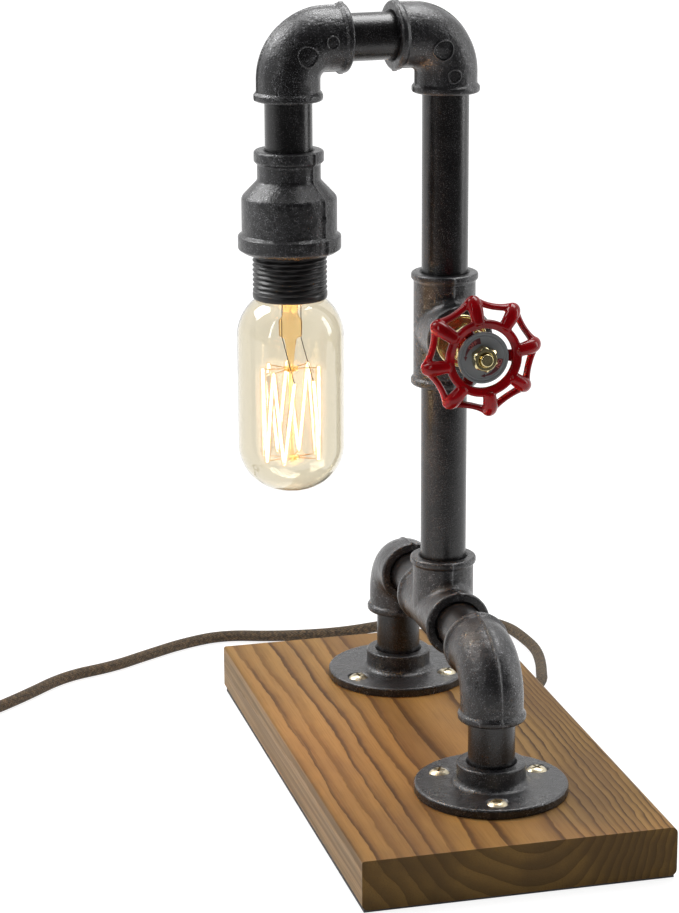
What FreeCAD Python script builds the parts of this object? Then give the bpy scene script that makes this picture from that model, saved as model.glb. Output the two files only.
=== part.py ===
import FreeCAD, Part
import math
import os

from FreeCAD import Vector

# Industrial pipe table lamp. Millimetres, +Z up, +Y towards the rear leg.
# The origin is on the table, under the middle of the base board.

# Running and seating clearances
FIT_CLEARANCE = 0.05
SOFT_CLEARANCE = 0.3
BREAKTHROUGH = 1.0

# Base board and what is under it
BOARD_WIDTH = 146.5
BOARD_LENGTH = 289.4
BOARD_THICKNESS = 23.4
BOARD_EDGE_RADIUS = 3.0
BOARD_CRISP_RADIUS = 1.2
FELT_THICKNESS = 1.25
FELT_INSET = 1.0
COVER_THICKNESS = 2.0
COVER_MARGIN = 6.0
COVER_SCREW_RADIUS = 1.2
COVER_SCREW_HEAD_RADIUS = 2.3
COVER_SCREW_LENGTH = 9.0
COVER_SCREW_SLOT = (3.0, 0.6, 0.5)
POCKET_LEFT = -6.0
POCKET_SIDE_WALL = 10.5
POCKET_FRONT = 30.0
POCKET_REAR = 92.0
POCKET_DEPTH = 11.0
WIRE_HOLE_RADIUS = 9.0

# Where the column stands on the board, and how far each leg is from it
COLUMN_OFFSET = 5.2
LEG_DISTANCE = 81.0

# Half inch pipe and its beaded fittings
PIPE_RADIUS = 10.9
PIPE_WALL = 2.85
ENGAGEMENT = 12.0
SOCKET_SPARE = 0.4
FITTING_REACH = 27.0
FITTING_BODY_RADIUS = 14.6
FITTING_BAND_RADIUS = 15.8
FITTING_BAND_WIDTH = 2.7
FITTING_BAND_SLOPE = 1.5
FITTING_BAND_ROUND = 1.3
FITTING_STRAIGHT = 9.5
WATERWAY_RADIUS = 8.2
MOUTH_CHAMFER = 1.0

# Visible lengths of pipe between two fittings
RISER_GAP = 21.0
COLUMN_LOWER_GAP = 85.0
COLUMN_UPPER_GAP = 84.25
ARM_GAP = 22.5
DROP_GAP = 22.3
ARM_TURN = 5.7

# Floor flanges
FLANGE_RADIUS = 35.8
FLANGE_THICKNESS = 4.5
FLANGE_HUB_RADIUS = 16.15
FLANGE_HUB_HEIGHT = 14.4
FLANGE_FOOT_ROUND = 0.5
FLANGE_EDGE_ROUND = 1.2
FLANGE_HUB_FILLET = 3.0
FLANGE_HUB_ROUND = 1.0
FLANGE_SCREW_CIRCLE = 26.5
FLANGE_SCREW_COUNT = 3
FRONT_SCREW_ANGLE = 19.0
REAR_SCREW_ANGLE = 84.5
SCREW_HEAD_RADIUS = 4.8
SCREW_SHANK_RADIUS = 2.1
SCREW_DOME = 1.7
SCREW_DOME_ROUND = 3.0
SCREW_DOME_SHARE = 0.62
SCREW_POINT_LENGTH = 3.0
SCREW_POINT_RADIUS = 0.4
SCREW_PILOT_SPARE = 1.0
SCREW_FIRST_TURN = 25.0
SCREW_TURN_STEP = 40.0
SCREW_LENGTH = 13.5
SCREW_SLOT_LENGTH = 5.4
SCREW_SLOT_WIDTH = 1.1
SCREW_SLOT_DEPTH = 1.5
COUNTERSINK_RADIUS = 5.6
SCREW_HOLE_RADIUS = 2.5

# Reducing socket, half inch above and one inch below
REDUCER_LENGTH = 46.75
REDUCER_RIM_RADIUS = 16.0
REDUCER_RIM_HEIGHT = 5.2
REDUCER_NECK_RADIUS = 14.5
REDUCER_NECK_END = 13.7
REDUCER_SHOULDER_END = 21.4
REDUCER_BODY_RADIUS = 21.85
REDUCER_BAND_RADIUS = 23.65
REDUCER_BAND_HEIGHT = 7.5
REDUCER_SOCKET_DEPTH = 19.0
REDUCER_STEP_TAPER = 4.0
REDUCER_RIM_ROUND = 1.2
REDUCER_RIM_FOOT = 1.0
REDUCER_SMALL_ROUND = 0.6
REDUCER_NECK_FILLET = 2.5
REDUCER_SHOULDER_ROUND = 3.5
REDUCER_BAND_STEP = 1.2
REDUCER_BAND_TAPER = 1.8

# Lamp holder
HOLDER_RADIUS = 17.2
HOLDER_VISIBLE_LENGTH = 21.6
HOLDER_HIDDEN_LENGTH = 15.0
HOLDER_BORE_RADIUS = 14.2
HOLDER_THREAD_PITCH = 2.31
HOLDER_THREAD_DEPTH = 1.0
HOLDER_THREAD_ROOT_ROUND = 0.2
HOLDER_THREAD_FLANK = 0.75
HOLDER_EDGE_HEIGHT = 1.2
HOLDER_EDGE_ROUND = 0.4
HOLDER_MOUTH_CHAMFER = 1.6
SCREW_SHELL_WALL = 0.35
SCREW_SHELL_LENGTH = 21.0
CORE_THICKNESS = 6.0
CORE_LIP = 2.0
CORE_EDGE_ROUND = 0.5
CONTACT_THICKNESS = 0.5
CONTACT_RADIUS = 4.2
TERMINAL_HEIGHT = 3.5
TERMINAL_DEPTH = 6.0
TERMINAL_WIDTH = 4.8
TERMINAL_START = 1.2

# Bulb
BULB_RADIUS = 24.7
BULB_VISIBLE_LENGTH = 91.3
BULB_WALL = 0.8
BULB_FOOT_CURVE = 22.0
BULB_SHOULDER_DROP = 7.3
BULB_SHOULDER_RISE = 2.0
BULB_NECK_LENGTH = 9.0
BULB_NECK_FILLET = 2.0
CAP_RADIUS = 13.1
CAP_WALL = 0.35
CAP_START = 3.6
CAP_LENGTH = 21.0
CAP_INSULATOR_HEIGHT = 3.5
CAP_INSULATOR_TOP_RADIUS = 5.6
CAP_INSULATOR_FLARE = 3.0
CAP_SHOULDER_HEIGHT = 1.5
CAP_SHOULDER_ROUND = 0.8
TIP_RADIUS = 4.8
TIP_HEIGHT = 1.2

# Inside the bulb, heights below the holder's lower edge
PRESS_TOP = 10.0
PRESS_LENGTH = 9.5
PRESS_WIDTH = 11.0
PRESS_THICKNESS = 4.0
PRESS_TURN = -20.9
STEM_FLARE_RIM = 3.0
STEM_TUBE_TOP_RADIUS = 3.6
STEM_TUBE_FOOT_RADIUS = 3.0
STEM_TUBE_ROUND = 4.0
STEM_TUBE_DROP = 2.0
STEM_JOIN = 1.0
STEM_BEAD_LENGTH = 11.0
STEM_BEAD_FOOT_RADIUS = 1.3
STEM_BEAD_RADIUS = 2.2
ROD_RADIUS = 1.0
UPPER_STAR = 33.7
LOWER_STAR = 76.3
STAR_RADIUS = 3.4
STAR_THICKNESS = 1.8
CAGE_RADIUS = 13.0
CAGE_LOOPS = 8
CAGE_FIRST_ANGLE = -56.4
CAGE_ENDS_DROP = 4.3
FILAMENT_RADIUS = 0.4
HOOK_RADIUS = 0.25
LEAD_WIRE_RADIUS = 0.35
FIRST_LEAD_START = 4.9
LAST_LEAD_START = -3.8

# Rotary switch with the valve's bonnet and stem, distances in front of the column's axis
BONNET_FLANGE_RADIUS = 12.3
BONNET_FLANGE_THICKNESS = 2.0
BONNET_FLANGE_ROUND = 0.6
BONNET_THREAD_LENGTH = 11.0
BONNET_HEX = 17.0
BONNET_HEX_LENGTH = 8.5
PACKING_HEX = 14.0
PACKING_HEX_LENGTH = 7.5
PACKING_HEX_TURN = 18.0
HEX_CHAMFER = 0.8
PACKING_RING_RADIUS = 5.0
PACKING_RING_LENGTH = 3.0
STEM_RADIUS = 3.0
STEM_TIP_ROUND = 0.7
SWITCH_BODY_RADIUS = 8.0
SWITCH_BODY_LENGTH = 11.5
SWITCH_CAVITY_RADIUS = 6.6
SWITCH_CAVITY_LENGTH = 7.0
ROTOR_RADIUS = 5.2
ROTOR_LENGTH = 5.0
ROTOR_FLAT_DEPTH = 1.2
ROTOR_END_GAP = 0.4
LEAF_THICKNESS = 0.6
LEAF_WIDTH = 3.0
LEAF_LENGTH = 5.0
SWITCH_TERMINAL_WIDTH = 6.0
SWITCH_TERMINAL_INNER = 2.0
SWITCH_TERMINAL_OUTER = 8.0

# Handwheel
WHEEL_STANDOFF = 31.6
WHEEL_SPOKES = 8
WHEEL_FIRST_SPOKE = 9.3
WHEEL_RING_RADIUS = 15.2
WHEEL_RING_WIDTH = 3.5
WHEEL_RING_DEPTH = 5.0
WHEEL_RING_ROUND = 1.5
WHEEL_TIP_RADIUS = 28.7
WHEEL_SPOKE_RADIUS = 2.65
WHEEL_RIM_RADIUS = 1.6
WHEEL_RIM_TIP = 27.0
WHEEL_RIM_WAIST = 24.7
WHEEL_HUB_RADIUS = 7.5
WHEEL_HUB_BACK = 3.5
WHEEL_HUB_FRONT = 3.2
WHEEL_HUB_ROUND = 1.0
WHEEL_HUB_FRONT_ROUND = 0.5
WHEEL_ARM_COUNT = 3
WHEEL_ARM_WIDTH = 4.6
WHEEL_ARM_THICKNESS = 3.0
DIAL_RADIUS = 11.7
DIAL_THICKNESS = 0.8
DIAL_RIM_WIDTH = 1.0
DIAL_RIM_HEIGHT = 0.3
WHEEL_NUT_HEX = 10.7
WHEEL_NUT_LENGTH = 4.5
WHEEL_NUT_CHAMFER = 0.6
WHEEL_NUT_TURN = 8.0
STEM_TIP_LENGTH = 2.2

# Flex inside the pipes
FLEX_RADIUS = 2.0
CORE_WIRE_RADIUS = 0.8
CORE_WIRE_GAP = 0.3
FLEX_BEND_RADIUS = 12.0
FLEX_FLOOR_BENDS = (9.0, 12.0, 10.0)
FLEX_FIRST_CORNER = 46.0
FLEX_SLACK_CORNER = (28.0, 38.5)

# Mains cord, its way out of the board and its sleeve
CORD_RADIUS = 3.0
CORD_EXIT_Y = 72.5
CORD_EXIT_HEIGHT = 8.6
CORD_EXIT_ANGLE = 55.0
CORD_FIRST_RUN = 12.0
SLEEVE_OUTSIDE = 13.0
SLEEVE_INSIDE = 12.0
SLEEVE_RADIUS = 5.0
SLEEVE_TIP_RADIUS = 3.9
SLEEVE_TAPER_START = 5.0
SLEEVE_TAPER_ROUND = 3.0
SLEEVE_EDGE_ROUND = 0.3
CORD_HOLE_DEPTH = 26.0
CLAMP_LENGTH = 7.0
CLAMP_WIDTH = 17.0
CLAMP_FOOT = 0.6
CLAMP_START = 31.0
CLAMP_SCREW_OFFSET = 5.6
CLAMP_SCREW_RADIUS = 1.4
CLAMP_SCREW_HEAD = 1.0
CLAMP_SCREW_DEPTH = 5.0
CLAMP_PILOT_SPARE = 0.5

# Coil of the stored cord, and the plug
COIL_CENTRE = (-260.7, 90.0)
COIL_OUTER_TURN = 38.0
COIL_TURNS_WIDE = 3
COIL_LAYERS = 2
COIL_STUB = 24.0
COIL_ROUND = 1.5
PLUG_SLEEVE_LENGTH = 20.0
PLUG_SLEEVE_RADIUS = 5.0
PLUG_SLEEVE_WALL = 0.6
PLUG_LENGTH = 36.0
PLUG_WIDTH = 35.0
PLUG_NECK_WIDTH = 13.0
PLUG_THICKNESS = 13.7
PLUG_WIDEST = 22.0
PLUG_SHOULDER_ROUND = 5.0
PLUG_NECK_ROUND = 2.0
PLUG_FACE_ROUND = 1.0
PLUG_EDGE_ROUND = 1.5
PIN_RADIUS = 2.0
PIN_LENGTH = 19.0
PIN_TIP_ROUND = 0.9
PIN_SPACING = 18.6

# Sizes that follow from the ones above
BOARD_BOTTOM = FELT_THICKNESS
BOARD_TOP = BOARD_BOTTOM + BOARD_THICKNESS
POCKET_RIGHT = BOARD_WIDTH / 2 - POCKET_SIDE_WALL
PIPE_BORE_RADIUS = PIPE_RADIUS - PIPE_WALL
SOCKET_RADIUS = PIPE_RADIUS + FIT_CLEARANCE
SOCKET_DEPTH = ENGAGEMENT + SOCKET_SPARE
FITTING_BEND_RADIUS = FITTING_REACH - FITTING_STRAIGHT
FLANGE_HUB_TOP = BOARD_TOP + FLANGE_HUB_HEIGHT
LEG_RUN_Z = FLANGE_HUB_TOP + RISER_GAP + FITTING_REACH
VALVE_Z = LEG_RUN_Z + COLUMN_LOWER_GAP + 2 * FITTING_REACH
ARM_Z = VALVE_Z + COLUMN_UPPER_GAP + 2 * FITTING_REACH
ARM_LENGTH = ARM_GAP + 2 * FITTING_REACH
CROSS_GAP = LEG_DISTANCE - 2 * FITTING_REACH
REDUCER_TOP = ARM_Z - FITTING_REACH - DROP_GAP
REDUCER_BOTTOM = REDUCER_TOP - REDUCER_LENGTH
HOLDER_BOTTOM = REDUCER_BOTTOM - HOLDER_VISIBLE_LENGTH
HOLDER_TOP = REDUCER_BOTTOM + HOLDER_HIDDEN_LENGTH
BULB_BOTTOM = HOLDER_BOTTOM - BULB_VISIBLE_LENGTH
CAGE_LAST = 2 * CAGE_LOOPS - 2
CAP_BOTTOM = HOLDER_BOTTOM + CAP_START
CAP_TOP = CAP_BOTTOM + CAP_LENGTH
INSULATOR_TOP = CAP_TOP + CAP_INSULATOR_HEIGHT
TIP_TOP = INSULATOR_TOP + TIP_HEIGHT
CONTACT_BOTTOM = TIP_TOP + FIT_CLEARANCE
CORE_BOTTOM = CONTACT_BOTTOM + CONTACT_THICKNESS
CORE_TOP = CORE_BOTTOM + CORE_THICKNESS
TERMINAL_TOP = CORE_TOP + TERMINAL_HEIGHT
BRANCH_FACE = FITTING_REACH
WHEEL_PLANE = BRANCH_FACE + WHEEL_STANDOFF
SWIVEL_Z = ARM_Z - FITTING_REACH
EXIT_TURN = math.radians(CORD_EXIT_ANGLE)
EXIT_DIRECTION = Vector(math.cos(EXIT_TURN), math.sin(EXIT_TURN), 0)
EXIT_ON_SIDE = Vector(BOARD_WIDTH / 2, CORD_EXIT_Y, CORD_EXIT_HEIGHT)
SLEEVE_TIP = EXIT_ON_SIDE + EXIT_DIRECTION * SLEEVE_OUTSIDE
REAR_WIRE_HOLE = Vector(COLUMN_OFFSET, LEG_DISTANCE, CORD_EXIT_HEIGHT)
POCKET_CEILING = BOARD_BOTTOM + POCKET_DEPTH
CLAMP_BOTTOM = CORD_EXIT_HEIGHT - CORD_RADIUS - CLAMP_FOOT
COLUMN = Vector(COLUMN_OFFSET, 0, 0)
DOWN = (0, 0, -1)
UP = (0, 0, 1)
FRONT = (0, -1, 0)
REAR = (0, 1, 0)
LEFT = (-1, 0, 0)

# Control points of the free cord, from the sleeve's tip to the coil's first turn
CORD_ROUTE = [
    tuple(SLEEVE_TIP), tuple(SLEEVE_TIP + EXIT_DIRECTION * CORD_FIRST_RUN), (92.1, 108.0, 6.6),
    (99.4, 131.0, 3.8), (104.6, 155.0, 3.0),
    (103.5, 177.0, 3.0), (100.6, 195.5, 3.0), (88.3, 212.0, 3.0), (67.3, 220.0, 3.0), (38.3, 216.5, 3.0),
    (5.3, 209.5, 3.0), (-29.7, 213.5, 3.0), (-57.2, 223.0, 3.0), (-81.2, 215.5, 3.0), (-104.2, 202.0, 3.0),
    (-125.7, 188.5, 3.0), (-153.2, 180.0, 3.0), (-177.7, 156.5, 3.0), (-198.7, 139.0, 3.0),
    (-217.7, 128.0, 3.0), (-236.7, 128.0, 3.0)]

# Control points of the cord's tail, from the coil's last turn to the plug's sleeve
TAIL_ROUTE = [(-298.7, 66.0, 9.0), (-298.7, 53.0, 9.0), (-296.2, 39.5, 6.85), (-296.2, 26.5, 6.85)]


# ---------------------------------------------------------------- shape helpers

def placed(shape, origin, z_direction, x_direction=None):
    """Copy of a shape whose own Z points along z_direction and whose origin is at origin."""
    z_axis = Vector(*z_direction).normalize()
    if x_direction is None:
        turn = FreeCAD.Rotation(Vector(0, 0, 1), z_axis)
    else:
        x_axis = Vector(*x_direction).normalize()
        turn = FreeCAD.Rotation(x_axis, z_axis.cross(x_axis), z_axis, "ZXY")
    moved = shape.copy()
    moved.Placement = FreeCAD.Placement(Vector(*origin), turn).multiply(shape.Placement)
    return moved


def fused(shapes):
    """One solid out of several that overlap or share a face."""
    return shapes[0].fuse(list(shapes[1:])).removeSplitter()


def corner_arc(before, corner, after, radius):
    """Tangent arc of a radius at a corner: its start, middle and end points."""
    to_before = (before - corner).normalize()
    to_after = (after - corner).normalize()
    half = to_before.getAngle(to_after) / 2
    bisector = (to_before + to_after).normalize()
    reach = radius / math.tan(half)
    middle = corner + bisector * (radius / math.sin(half) - radius)
    return corner + to_before * reach, middle, corner + to_after * reach


def rounded_wire(corners):
    """Closed outline in the XZ plane through corners (x, z, radius); a radius of 0 stays sharp."""
    points = [Vector(x, 0, z) for x, z, radius in corners]
    stations = []
    for index, (x, z, radius) in enumerate(corners):
        if radius > 0:
            following = points[(index + 1) % len(points)]
            stations.append(corner_arc(points[index - 1], points[index], following, radius))
        else:
            stations.append((points[index],))
    edges = []
    for index, station in enumerate(stations):
        if len(station) == 3:
            edges.append(Part.Arc(*station).toShape())
        following = stations[(index + 1) % len(stations)][0]
        edges.append(Part.LineSegment(station[-1], following).toShape())
    return Part.Wire(edges)


def lathe(corners):
    """Solid turned about Z from an outline of (radius, height, corner radius)."""
    face = Part.Face(rounded_wire(corners))
    return face.revolve(Vector(0, 0, 0), Vector(0, 0, 1), 360)


def rod(radius, length, origin=(0, 0, 0), direction=UP):
    """Round bar from origin along direction."""
    return Part.makeCylinder(radius, length, Vector(*origin), Vector(*direction))


def tube(outer, inner, length, origin=(0, 0, 0), direction=UP):
    """Round tube from origin along direction."""
    return rod(outer, length, origin, direction).cut(rod(inner, length, origin, direction))


def hexagon_bar(across_flats, length, chamfer):
    """Hexagonal bar along Z whose two ends have turned chamfers."""
    corner_radius = across_flats / math.sqrt(3)
    points = [Vector(corner_radius * math.cos(math.radians(60 * k)),
                     corner_radius * math.sin(math.radians(60 * k)), 0) for k in range(7)]
    prism = Part.Face(Part.makePolygon(points)).extrude(Vector(0, 0, length))
    flat = across_flats / 2
    turned = lathe([(0, 0, 0), (flat, 0, 0), (flat + 2 * chamfer, chamfer, 0),
                    (flat + 2 * chamfer, length - chamfer, 0), (flat, length, 0), (0, length, 0)])
    return prism.common(turned)


def route_wire(points, radii):
    """Straight runs through points, joined by a tangent arc of the given radius at each inner point."""
    vectors = [Vector(*point) for point in points]
    edges = []
    position = vectors[0]
    for index in range(1, len(vectors) - 1):
        start, middle, end = corner_arc(*vectors[index - 1:index + 2], radii[index - 1])
        edges.append(Part.LineSegment(position, start).toShape())
        edges.append(Part.Arc(start, middle, end).toShape())
        position = end
    edges.append(Part.LineSegment(position, vectors[-1]).toShape())
    return Part.Wire(edges)


def swept_rod(points, radii, radius):
    """Round bar of a radius along a route of straight runs and arcs."""
    path = route_wire(points, radii)
    heading = Vector(*points[1]) - Vector(*points[0])
    section = Part.Face(Part.Wire(Part.makeCircle(radius, Vector(*points[0]), heading)))
    return path.makePipe(section)


def cord_radii(points):
    """Largest arc that the two runs at each inner point leave room for."""
    vectors = [Vector(*point) for point in points]
    radii = []
    for before, corner, after in zip(vectors, vectors[1:], vectors[2:]):
        run = min((corner - before).Length, (after - corner).Length)
        turn = (corner - before).getAngle(after - corner)
        radii.append(0.45 * run / math.tan(turn / 2))
    return radii


def on_column(shape):
    """Move a shape that was made around the Z axis onto the column's axis."""
    moved = shape.copy()
    moved.translate(COLUMN)
    return moved


def on_arm(shape):
    """Turn a shape of the upper arm about the column's axis and set it there."""
    turned = shape.copy()
    turned.rotate(Vector(0, 0, 0), Vector(0, 0, 1), ARM_TURN)
    return on_column(turned)


def on_drop(shape):
    """Move a shape that was made around the Z axis under the arm's free end."""
    moved = shape.copy()
    moved.translate(Vector(-ARM_LENGTH, 0, 0))
    return on_arm(moved)


def group(solids):
    """Several separate solids of one node."""
    return Part.makeCompound(solids)


# ---------------------------------------------------------------- pipes and fittings

def mouth_outside(length):
    """Outside of one mouth of a fitting: face at z=0, rounded band, body up to length."""
    slope_end = FITTING_BAND_WIDTH + FITTING_BAND_SLOPE
    curve = FITTING_BAND_ROUND
    return lathe([(0, 0, 0), (FITTING_BAND_RADIUS, 0, curve),
                  (FITTING_BAND_RADIUS, FITTING_BAND_WIDTH, curve), (FITTING_BODY_RADIUS, slope_end, curve),
                  (FITTING_BODY_RADIUS, length, 0), (0, length, 0)])


def mouth_inside(length):
    """Cutter for one mouth: chamfer, socket and waterway up to length."""
    wide = SOCKET_RADIUS + MOUTH_CHAMFER
    return lathe([(0, 0, 0), (wide, 0, 0), (SOCKET_RADIUS, MOUTH_CHAMFER, 0),
                  (SOCKET_RADIUS, SOCKET_DEPTH, 0), (WATERWAY_RADIUS, SOCKET_DEPTH, 0),
                  (WATERWAY_RADIUS, length, 0), (0, length, 0)])


def quarter_bend(radius):
    """Quarter torus from the +X side to the +Z side of a fitting's centre."""
    ring = Part.makeCircle(radius, Vector(FITTING_BEND_RADIUS, 0, 0), Vector(1, 0, 0))
    section = Part.Face(Part.Wire(ring))
    return section.revolve(Vector(FITTING_BEND_RADIUS, 0, FITTING_BEND_RADIUS), Vector(0, 1, 0), 90)


def elbow():
    """Elbow with mouths towards +X and +Z, its centre at the origin."""
    sides = (((FITTING_REACH, 0, 0), LEFT), ((0, 0, FITTING_REACH), DOWN))
    outside = [placed(mouth_outside(FITTING_STRAIGHT), origin, inward) for origin, inward in sides]
    inside = [placed(mouth_inside(SOCKET_DEPTH + BREAKTHROUGH), origin, inward) for origin, inward in sides]
    body = fused(outside + [quarter_bend(FITTING_BODY_RADIUS)])
    for cutter in inside + [quarter_bend(WATERWAY_RADIUS)]:
        body = body.cut(cutter)
    return body


def tee():
    """Tee whose run lies along Z and whose branch points to +X, its centre at the origin."""
    sides = (((0, 0, FITTING_REACH), DOWN), ((0, 0, -FITTING_REACH), UP), ((FITTING_REACH, 0, 0), LEFT))
    outside = [placed(mouth_outside(FITTING_REACH), origin, inward) for origin, inward in sides]
    inside = [placed(mouth_inside(FITTING_REACH), origin, inward) for origin, inward in sides]
    body = fused(outside)
    for cutter in inside:
        body = body.cut(cutter)
    return body


def nipple(gap):
    """Threaded pipe piece along +Z that shows a gap between two fittings, from the first mouth's face."""
    return tube(PIPE_RADIUS, PIPE_BORE_RADIUS, gap + 2 * ENGAGEMENT, (0, 0, -ENGAGEMENT))


def flange():
    """Floor flange with its hub, foot at z=0, without screw holes."""
    socket_floor = FLANGE_HUB_HEIGHT - SOCKET_DEPTH
    wide = SOCKET_RADIUS + MOUTH_CHAMFER
    return lathe([(WIRE_HOLE_RADIUS, 0, 0), (FLANGE_RADIUS, 0, FLANGE_FOOT_ROUND),
                  (FLANGE_RADIUS, FLANGE_THICKNESS, FLANGE_EDGE_ROUND),
                  (FLANGE_HUB_RADIUS, FLANGE_THICKNESS, FLANGE_HUB_FILLET),
                  (FLANGE_HUB_RADIUS, FLANGE_HUB_HEIGHT, FLANGE_HUB_ROUND),
                  (wide, FLANGE_HUB_HEIGHT, 0), (SOCKET_RADIUS, FLANGE_HUB_HEIGHT - MOUTH_CHAMFER, 0),
                  (SOCKET_RADIUS, socket_floor, 0), (WIRE_HOLE_RADIUS, socket_floor, 0)])


def screw_places(y, first_angle):
    """Centres of a flange's screws on the flange's top."""
    places = []
    for index in range(FLANGE_SCREW_COUNT):
        angle = math.radians(first_angle + 360.0 * index / FLANGE_SCREW_COUNT)
        places.append(Vector(COLUMN_OFFSET + FLANGE_SCREW_CIRCLE * math.cos(angle),
                             y + FLANGE_SCREW_CIRCLE * math.sin(angle), BOARD_TOP + FLANGE_THICKNESS))
    return places


def countersink():
    """Cutter for one screw in a flange, the flange's top at z=0."""
    sink = COUNTERSINK_RADIUS - SCREW_HOLE_RADIUS
    hole = rod(SCREW_HOLE_RADIUS, FLANGE_THICKNESS + BREAKTHROUGH, (0, 0, 0), DOWN)
    cone = Part.makeCone(SCREW_HOLE_RADIUS, COUNTERSINK_RADIUS + BREAKTHROUGH, sink + BREAKTHROUGH,
                         Vector(0, 0, -sink))
    return fused([hole, cone])


def wood_screw():
    """Raised countersunk screw with a cross slot, seated in a countersink whose top is z=0."""
    drop = COUNTERSINK_RADIUS - SCREW_HEAD_RADIUS - math.sqrt(2) * FIT_CLEARANCE
    cone = SCREW_HEAD_RADIUS - SCREW_SHANK_RADIUS
    top = SCREW_DOME - drop
    point = -SCREW_LENGTH
    body = lathe([(0, top, 0), (0, point, 0), (SCREW_POINT_RADIUS, point, 0),
                  (SCREW_SHANK_RADIUS, point + SCREW_POINT_LENGTH, 0), (SCREW_SHANK_RADIUS, -drop - cone, 0),
                  (SCREW_HEAD_RADIUS, -drop, 0),
                  (SCREW_HEAD_RADIUS * SCREW_DOME_SHARE, top, SCREW_DOME_ROUND)])
    floor = top - SCREW_SLOT_DEPTH
    for length, width in ((SCREW_SLOT_LENGTH, SCREW_SLOT_WIDTH), (SCREW_SLOT_WIDTH, SCREW_SLOT_LENGTH)):
        corner = Vector(-length / 2, -width / 2, floor)
        slot = Part.makeBox(length, width, SCREW_SLOT_DEPTH + BREAKTHROUGH, corner)
        body = body.cut(slot)
    return body


def screwed_flange(y, first_angle):
    """Flange at a leg, with its countersunk holes."""
    body = flange()
    body.translate(Vector(COLUMN_OFFSET, y, BOARD_TOP))
    for place in screw_places(y, first_angle):
        cutter = countersink()
        cutter.translate(place)
        body = body.cut(cutter)
    return body


def flange_screws():
    """The screws of both flanges, each turned a little differently."""
    places = screw_places(-LEG_DISTANCE, FRONT_SCREW_ANGLE) + screw_places(LEG_DISTANCE, REAR_SCREW_ANGLE)
    screws = []
    for index, place in enumerate(places):
        screw = wood_screw()
        screw.rotate(Vector(0, 0, 0), Vector(0, 0, 1), SCREW_FIRST_TURN + SCREW_TURN_STEP * index)
        screw.translate(place)
        screws.append(screw)
    return group(screws)


def reducing_socket():
    """Reducing socket around the Z axis, half inch mouth up and one inch mouth down."""
    top, bottom = REDUCER_TOP, REDUCER_BOTTOM
    band_top = bottom + REDUCER_BAND_HEIGHT
    wide = SOCKET_RADIUS + MOUTH_CHAMFER
    large_bore = HOLDER_RADIUS + FIT_CLEARANCE
    step = bottom + REDUCER_SOCKET_DEPTH
    rim_end = top - REDUCER_RIM_HEIGHT
    return lathe([
        (wide, top, 0), (REDUCER_RIM_RADIUS, top, REDUCER_RIM_ROUND),
        (REDUCER_RIM_RADIUS, rim_end, REDUCER_SMALL_ROUND),
        (REDUCER_NECK_RADIUS, rim_end - REDUCER_RIM_FOOT, REDUCER_SMALL_ROUND),
        (REDUCER_NECK_RADIUS, top - REDUCER_NECK_END, REDUCER_NECK_FILLET),
        (REDUCER_BODY_RADIUS, top - REDUCER_SHOULDER_END, REDUCER_SHOULDER_ROUND),
        (REDUCER_BODY_RADIUS, band_top + REDUCER_BAND_STEP, REDUCER_SMALL_ROUND),
        (REDUCER_BAND_RADIUS, band_top, REDUCER_SMALL_ROUND),
        (REDUCER_BAND_RADIUS, bottom + REDUCER_BAND_TAPER, REDUCER_RIM_ROUND),
        (REDUCER_BODY_RADIUS, bottom, REDUCER_SMALL_ROUND),
        (large_bore + MOUTH_CHAMFER, bottom, 0), (large_bore, bottom + MOUTH_CHAMFER, 0),
        (large_bore, step, 0),
        (WATERWAY_RADIUS, step + REDUCER_STEP_TAPER, 0), (WATERWAY_RADIUS, top - SOCKET_DEPTH, 0),
        (SOCKET_RADIUS, top - SOCKET_DEPTH, 0), (SOCKET_RADIUS, top - MOUTH_CHAMFER, 0)])


# ---------------------------------------------------------------- base

def pocket_block(margin, height):
    """Block up from the board's underside over the wiring pocket, wider by a margin."""
    corner = Vector(POCKET_LEFT - margin, POCKET_FRONT - margin, BOARD_BOTTOM)
    return Part.makeBox(POCKET_RIGHT - POCKET_LEFT + 2 * margin, POCKET_REAR - POCKET_FRONT + 2 * margin,
                        height, corner)


def cover_screw_places():
    """Centres of the cover plate's screws, in the corners of its margin."""
    edge = COVER_MARGIN / 2
    return [Vector(x, y, BOARD_BOTTOM)
            for x in (POCKET_LEFT - edge, POCKET_RIGHT + edge)
            for y in (POCKET_FRONT - edge, POCKET_REAR + edge)]


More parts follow.
